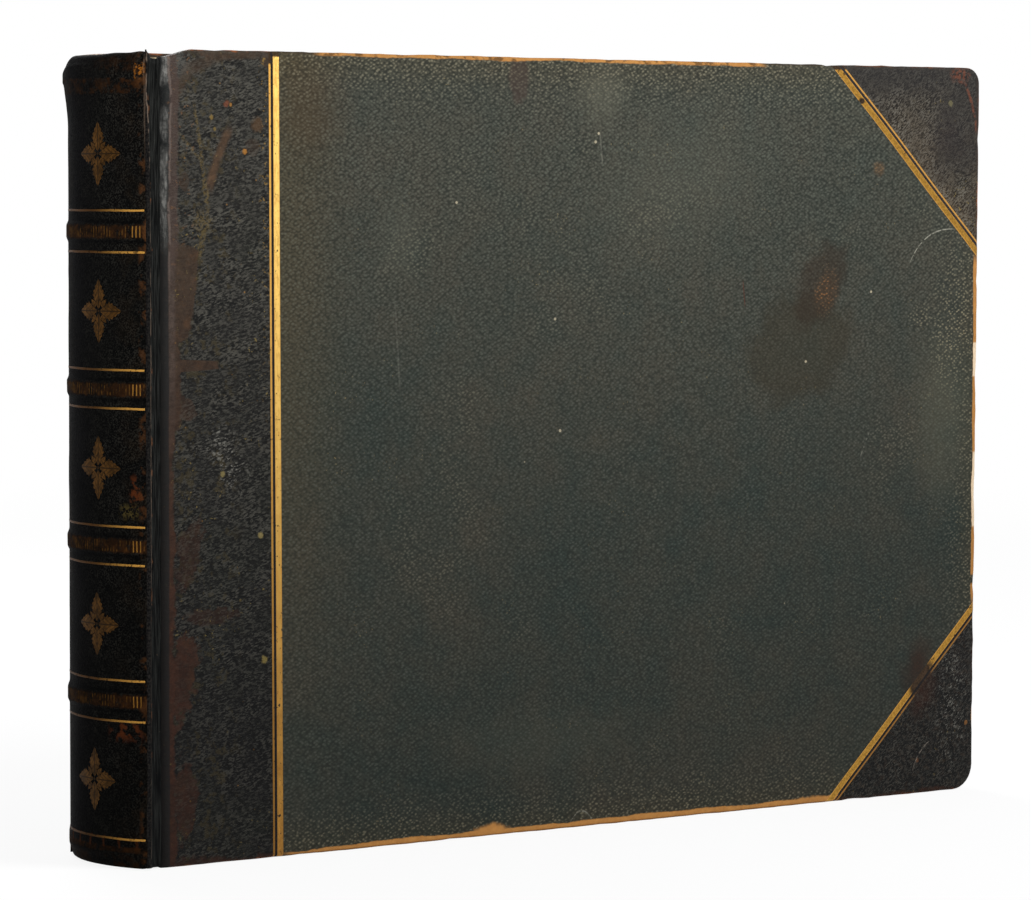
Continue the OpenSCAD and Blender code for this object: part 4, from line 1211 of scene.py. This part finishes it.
def build_tooling(looks):
    """Gilt lines beside the bands and a fleuron in each panel, laid on the leather's own surface."""
    verts, faces = [], []
    for index, z in enumerate(BAND_LINES):
        start, count = len(verts), 90
        for k in range(count + 1):
            t = -30.8 + (61.6 + 0.5 * wobble(index * 7, 0, 0, 3)) * k / count
            half = LINE_WIDTH / 2 * (0.92 + 0.16 * wobble(t, index * 4, 0, 2)) * smooth(31.6, 30.9, abs(t))
            drift = 0.12 * wobble(t, index * 9, 0, 12)
            for lift, offset in ((-0.05, -1.2), (0.07, -1), (0.09, 0), (0.07, 1), (-0.05, 1.2)):
                verts.append(spine_surface(t, z + drift + half * offset, lift))
        faces += grid_faces(count + 1, 5, start, flip=True)
    petal = PETAL_SIDE + tuple((-a, b) for a, b in PETAL_SIDE[-2:0:-1])
    for panel, shift in zip(PANELS, FLEURON_SHIFTS):
        for quarter in range(4):
            bm = bmesh.new()
            spin = Matrix.Rotation(math.radians(90 * quarter), 2)
            for shape, angle in ((petal, 0), (BUD, 45)):
                tip = Matrix.Rotation(math.radians(angle), 2)
                points = [spin @ (tip @ Vector((a * FLEURON_REACH, b * FLEURON_REACH))) for a, b in shape]
                ring = [bm.verts.new((*p, 0)) for p in points]
                edges = [bm.edges.new(pair) for pair in zip(ring, ring[1:] + ring[:1])]
                bmesh.ops.triangle_fill(bm, use_beauty=True, edges=edges)
            for k in range(-11, 12, 2):
                cut(bm, (k, 0, 0), (1, 0, 0))
            bmesh.ops.recalc_face_normals(bm, faces=bm.faces)
            start = len(verts)
            bm.verts.index_update()
            points = [(shift + v.co.x, panel + v.co.y) for v in bm.verts]
            verts += on_spine(points, 0.08)
            for f in bm.faces:
                ids = [start + v.index for v in f.verts]
                a, b, c = (Vector(verts[k]) for k in ids[:3])
                outward = (b - a).cross(c - a)
                middle = Vector((SPINE_X, 0, a.z))
                faces.append(tuple(ids) if outward.dot(a - middle) > 0 else tuple(reversed(ids)))
            bm.free()
        start = len(verts)
        angles = [math.radians(45 * k) for k in range(8)]
        ring = [(shift + 0.5 * math.cos(a), panel + 0.5 * math.sin(a)) for a in angles]
        verts += on_spine(ring, 0.1)
        faces.append(tuple(range(start, start + 8)))
    piece = add_piece("spine_tooling_gilt", verts, faces, "spine", looks["spine_gilt"], "gilt")
    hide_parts("spine_gilt_tooling")


def smooth_path(points, count):
    """A Catmull-Rom curve through points, as count + 1 evenly numbered places."""
    ends = [tuple(2 * a - b for a, b in zip(points[0], points[1]))]
    ends += list(points) + [tuple(2 * a - b for a, b in zip(points[-1], points[-2]))]
    out = []
    for k in range(count + 1):
        t = k / count * (len(points) - 1)
        i = min(int(t), len(points) - 2)
        f = t - i
        place = []
        for a, b, c, d in zip(*ends[i:i + 4]):
            bend, twist = 2 * a - 5 * b + 4 * c - d, 3 * b - a - 3 * c + d
            place.append(0.5 * (2 * b + (c - a) * f + bend * f * f + twist * f**3))
        out.append(tuple(place))
    return out


def strip_piece(name, section, thick, z0, z1, rows, sign, material, slot, shape=None):
    """A closed strip of cloth or leather along a section in X and Y, from z0 to z1."""
    lengths = [0]
    for a, b in zip(section, section[1:]):
        lengths.append(lengths[-1] + math.dist(a, b))
    count = len(section)
    normals = []
    for k in range(count):
        a, b = section[max(0, k - 1)], section[min(count - 1, k + 1)]
        size = math.dist(a, b)
        normals.append((-(b[1] - a[1]) / size, (b[0] - a[0]) / size))
    verts, uvs = [], []
    loop = [(k, 0) for k in range(count)] + [(k, thick) for k in range(count - 1, -1, -1)]
    for r in range(rows + 1):
        part = r / rows
        for k, depth in loop:
            x, y = section[k][0] + normals[k][0] * depth, section[k][1] + normals[k][1] * depth
            z = z0 + (z1 - z0) * part
            if shape:
                x, y, z = shape(x, y, z, lengths[k] / lengths[-1], depth)
            verts.append((x, y, z))
            uvs.append((lengths[k] * MM, z * MM))
    wide = len(loop)
    faces = grid_faces(rows + 1, wide, closed=True)
    faces += [tuple(reversed(range(wide))), tuple(range(rows * wide, (rows + 1) * wide))]
    verts, faces = mirrored(verts, faces, sign)
    return add_piece(name, verts, faces, None, material, slot, uvs, solid=True)


def build_joint(side, sign, looks):
    """The hollow of leather and the cloth hinge inside it, both bending from the spine to the cover."""
    outer = smooth_path((
        (-192.35, -25.75), (-192.45, -26.1), (-191.9, -26.32), (-191.2, -26.36), (-190.6, -26.1),
        (-190.1, -25.5), (-189.3, -24.98), (-188.2, -24.85), (-187.2, -24.92), (-186.4, -25.15),
        (-185.7, -25.1),
    ), 30)

    def creased(x, y, z, part, depth):
        wave = 0.12 * wobble(x * 2, 0, z, 9) + 0.07 * wobble(x * 5, 3, z, 4)
        dip = 1.7 * math.sin(math.pi * min(1, max(0, part))) ** 0.6 + 2.4 * part
        if sign > 0:
            dip += 5.4 * smooth(0.7, 0, part)
        return x, y + wave * math.sin(math.pi * part), z - dip * smooth(HEIGHT - 20, HEIGHT, z)

    leather = strip_piece(
        f"{side}_joint_hollow", outer, 0.55, 0.5, HEIGHT - 0.5, 120, sign, looks["joint"], "leather", creased
    )
    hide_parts(f"{side}_joint_leather")
    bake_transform(leather)
    inner = smooth_path((
        (-191.4, -21.85), (-190.4, -22.1), (-189.6, -22.9), (-188.7, -23.5), (-187.7, -23.45),
        (-186.8, -22.95), (-185.6, -22.72),
    ), 18)
    low, high, look = LEAF_Z0 + 0.5, LEAF_Z1 - 0.5, looks["hinge"]
    cloth = strip_piece(f"{side}_inner_hinge", inner, 0.24, low, high, 24, sign, look, "joint_cloth")
    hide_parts(f"{side}_inner_joint")
    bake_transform(cloth)


def build_headband(name, z, looks):
    """A silk-wound core that follows the back of the leaves."""
    low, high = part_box(name)
    radius = (high.z - low.z) / MM / 2 * 0.85
    spin = 45.92
    reach = math.degrees(math.asin(min(1, (high.y / MM - radius * 0.4) / spin)))
    verts, count, sides = [], 200, 10
    for k in range(count + 1):
        swell = radius * (0.9 + 0.1 * math.sin(k * 2 * math.pi / 2.4)) * (0.55 if k in (0, count) else 1)
        for s in range(sides):
            b = 2 * math.pi * s / sides
            r = spin + swell * math.cos(b)
            verts.append(spine_place(r, -reach + 2 * reach * k / count, z + swell * math.sin(b)))
    faces = grid_faces(count + 1, sides, closed=True)
    faces += [tuple(range(sides)), tuple(reversed(range(count * sides, (count + 1) * sides)))]
    piece = add_piece(f"{name}_silk", verts, faces, "spine", looks["silk"], "headband_silk", solid=True)
    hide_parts(name)


looks = {
    "cloth": cloth_look(),
    "leather": board_leather_look(),
    "gilt": gilt_look(),
    "spine_gilt": spine_gilt_look(),
    "spine": spine_leather_look(),
    "joint": joint_leather_look(),
    "board": board_look(),
    "pastedown": pastedown_look(),
    "front_fly": paper_look("front_flyleaf_paper", (222, 208, 176), (206, 188, 150), -1),
    "back_fly": paper_look("back_flyleaf_paper", (222, 208, 176), (206, 188, 150), 1),
    "hinge": woven_look("hinge_cloth", (150, 124, 86), (104, 84, 56), 0.6, uv=True),
    "linen": woven_look("hinge_linen", (192, 176, 142), (146, 128, 96), 0.5, uv=True),
    "lining": woven_look("spine_lining_cloth", (196, 180, 144), (140, 120, 86), 0.9),
    "tape": woven_look("tape_weave", (212, 202, 172), (160, 144, 110), 0.7),
    "card": card_look(),
    "guard": guard_look(),
    "stiffener": paper_look("stiffener_card", (176, 152, 112), (150, 122, 84)),
    "silk": silk_look(),
}

for side, sign in (("front", -1), ("back", 1)):
    build_cover(side, sign, looks)
    build_flyleaf(side, sign, looks)
    build_joint(side, sign, looks)
build_spine(looks)
build_stiffener(looks)
build_tooling(looks)
build_headband("headband", LEAF_Z1 + 0.75, looks)
build_headband("tailband", LEAF_Z0 - 1, looks)
for i in range(1, LEAF_COUNT + 1):
    build_leaf(i, looks)

for node, look in (
    ("leaf_guards", "guard"), ("spine_lining", "lining"), ("sewing_tapes", "tape"),
    ("raised_bands", "stiffener"),
):
    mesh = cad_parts[node].data
    mesh.materials.clear()
    mesh.materials.append(looks[look])


def white_to_camera(tree, shaded, white, share, output):
    """Shows white to the camera and in reflections, with a share of the shaded surface kept."""
    paths = tree.node("ShaderNodeLightPath").outputs
    seen = Field(tree, paths["Is Camera Ray"])
    for name in ("Is Glossy Ray", "Is Transmission Ray"):
        seen = seen.most(paths[name])
    mix = tree.node("ShaderNodeMixShader")
    for socket, value in zip(mix.inputs, (seen * share, shaded, white)):
        tree.put(socket, value)
    tree.put(output, mix.outputs[0])


def build_stage():
    world = bpy.data.worlds.new("studio")
    world.use_nodes = True
    bpy.context.scene.world = world
    tree = Tree(world.node_tree)
    dim = world.node_tree.nodes["Background"]
    white = tree.node("ShaderNodeBackground")
    for background, strength in ((dim, 0.32), (white, 1)):
        background.inputs["Color"].default_value = (1, 1, 1, 1)
        background.inputs["Strength"].default_value = strength
    output = world.node_tree.nodes["World Output"].inputs[0]
    white_to_camera(tree, dim.outputs[0], white.outputs[0], 1, output)

    look = Look("floor")
    look.bsdf.inputs["Base Color"].default_value = (0.9, 0.9, 0.91, 1)
    look.bsdf.inputs["Roughness"].default_value = 0.8
    glow = look.node("ShaderNodeEmission")
    glow.inputs["Color"].default_value = (1, 1, 1, 1)
    # The floor fades into the white surroundings away from the album
    away = look.node("ShaderNodeVectorMath", operation="LENGTH")
    look.put(away.inputs[0], look.position)
    fade = look.node("ShaderNodeMapRange", interpolation_type="SMOOTHSTEP")
    for socket, value in zip(fade.inputs, (away.outputs["Value"], 0.3, 2.2, 0.86, 1)):
        look.put(socket, value)
    output = look.tree.nodes["Material Output"].inputs[0]
    white_to_camera(look, look.bsdf.outputs[0], glow.outputs[0], fade.outputs[0], output)
    reach = 9
    mesh = bpy.data.meshes.new("floor")
    corners = [(-reach, -reach, 0), (reach, -reach, 0), (reach, reach, 0), (-reach, reach, 0)]
    mesh.from_pydata(corners, [], [range(4)])
    mesh.materials.append(look.material)
    floor = bpy.data.objects.new("floor", mesh)
    bpy.context.scene.collection.objects.link(floor)

    for name, place, aim, size, power in (
        ("key", (0.5, -0.85, 0.95), (0.05, 0, 0.22), 0.6, 15),
        ("side", (-1.5, -0.2, 0.8), (-0.19, 0, 0.15), 0.9, 5),
        ("rear", (0.3, 1.3, 1.1), (0, 0, 0.2), 0.9, 14),
    ):
        lamp = bpy.data.lights.new(name, "AREA")
        lamp.shape, lamp.size, lamp.energy = "DISK", size, power
        holder = bpy.data.objects.new(name, lamp)
        bpy.context.scene.collection.objects.link(holder)
        holder.location = place
        holder.rotation_euler = (Vector(aim) - Vector(place)).to_track_quat("-Z", "Y").to_euler()


def build_camera():
    """The photograph's viewpoint: its turn, tilt and roll, with a long lens."""
    turn, tilt, roll = (math.radians(a) for a in (-36.669, 3.1221, 0.1064))
    back = Vector((math.sin(turn) * math.cos(tilt), -math.cos(turn) * math.cos(tilt), math.sin(tilt)))
    right = (-back).cross(Vector((0, 0, 1))).normalized()
    up = right.cross(-back)
    rolled_right = right * math.cos(roll) + up * math.sin(roll)
    rolled_up = up * math.cos(roll) - right * math.sin(roll)
    camera = bpy.data.objects.new("camera", bpy.data.cameras.new("camera"))
    bpy.context.scene.collection.objects.link(camera)
    camera.data.sensor_fit, camera.data.sensor_width, camera.data.lens = "HORIZONTAL", 36, 162.36
    camera.data.clip_start, camera.data.clip_end = 0.05, 100
    turned = Matrix((rolled_right, rolled_up, back)).transposed().to_4x4()
    camera.matrix_world = Matrix.Translation((-1.06453, -1.41519, 0.2383)) @ turned
    bpy.context.scene.camera = camera


build_stage()
build_camera()
bpy.context.scene.view_settings.view_transform = "Standard"
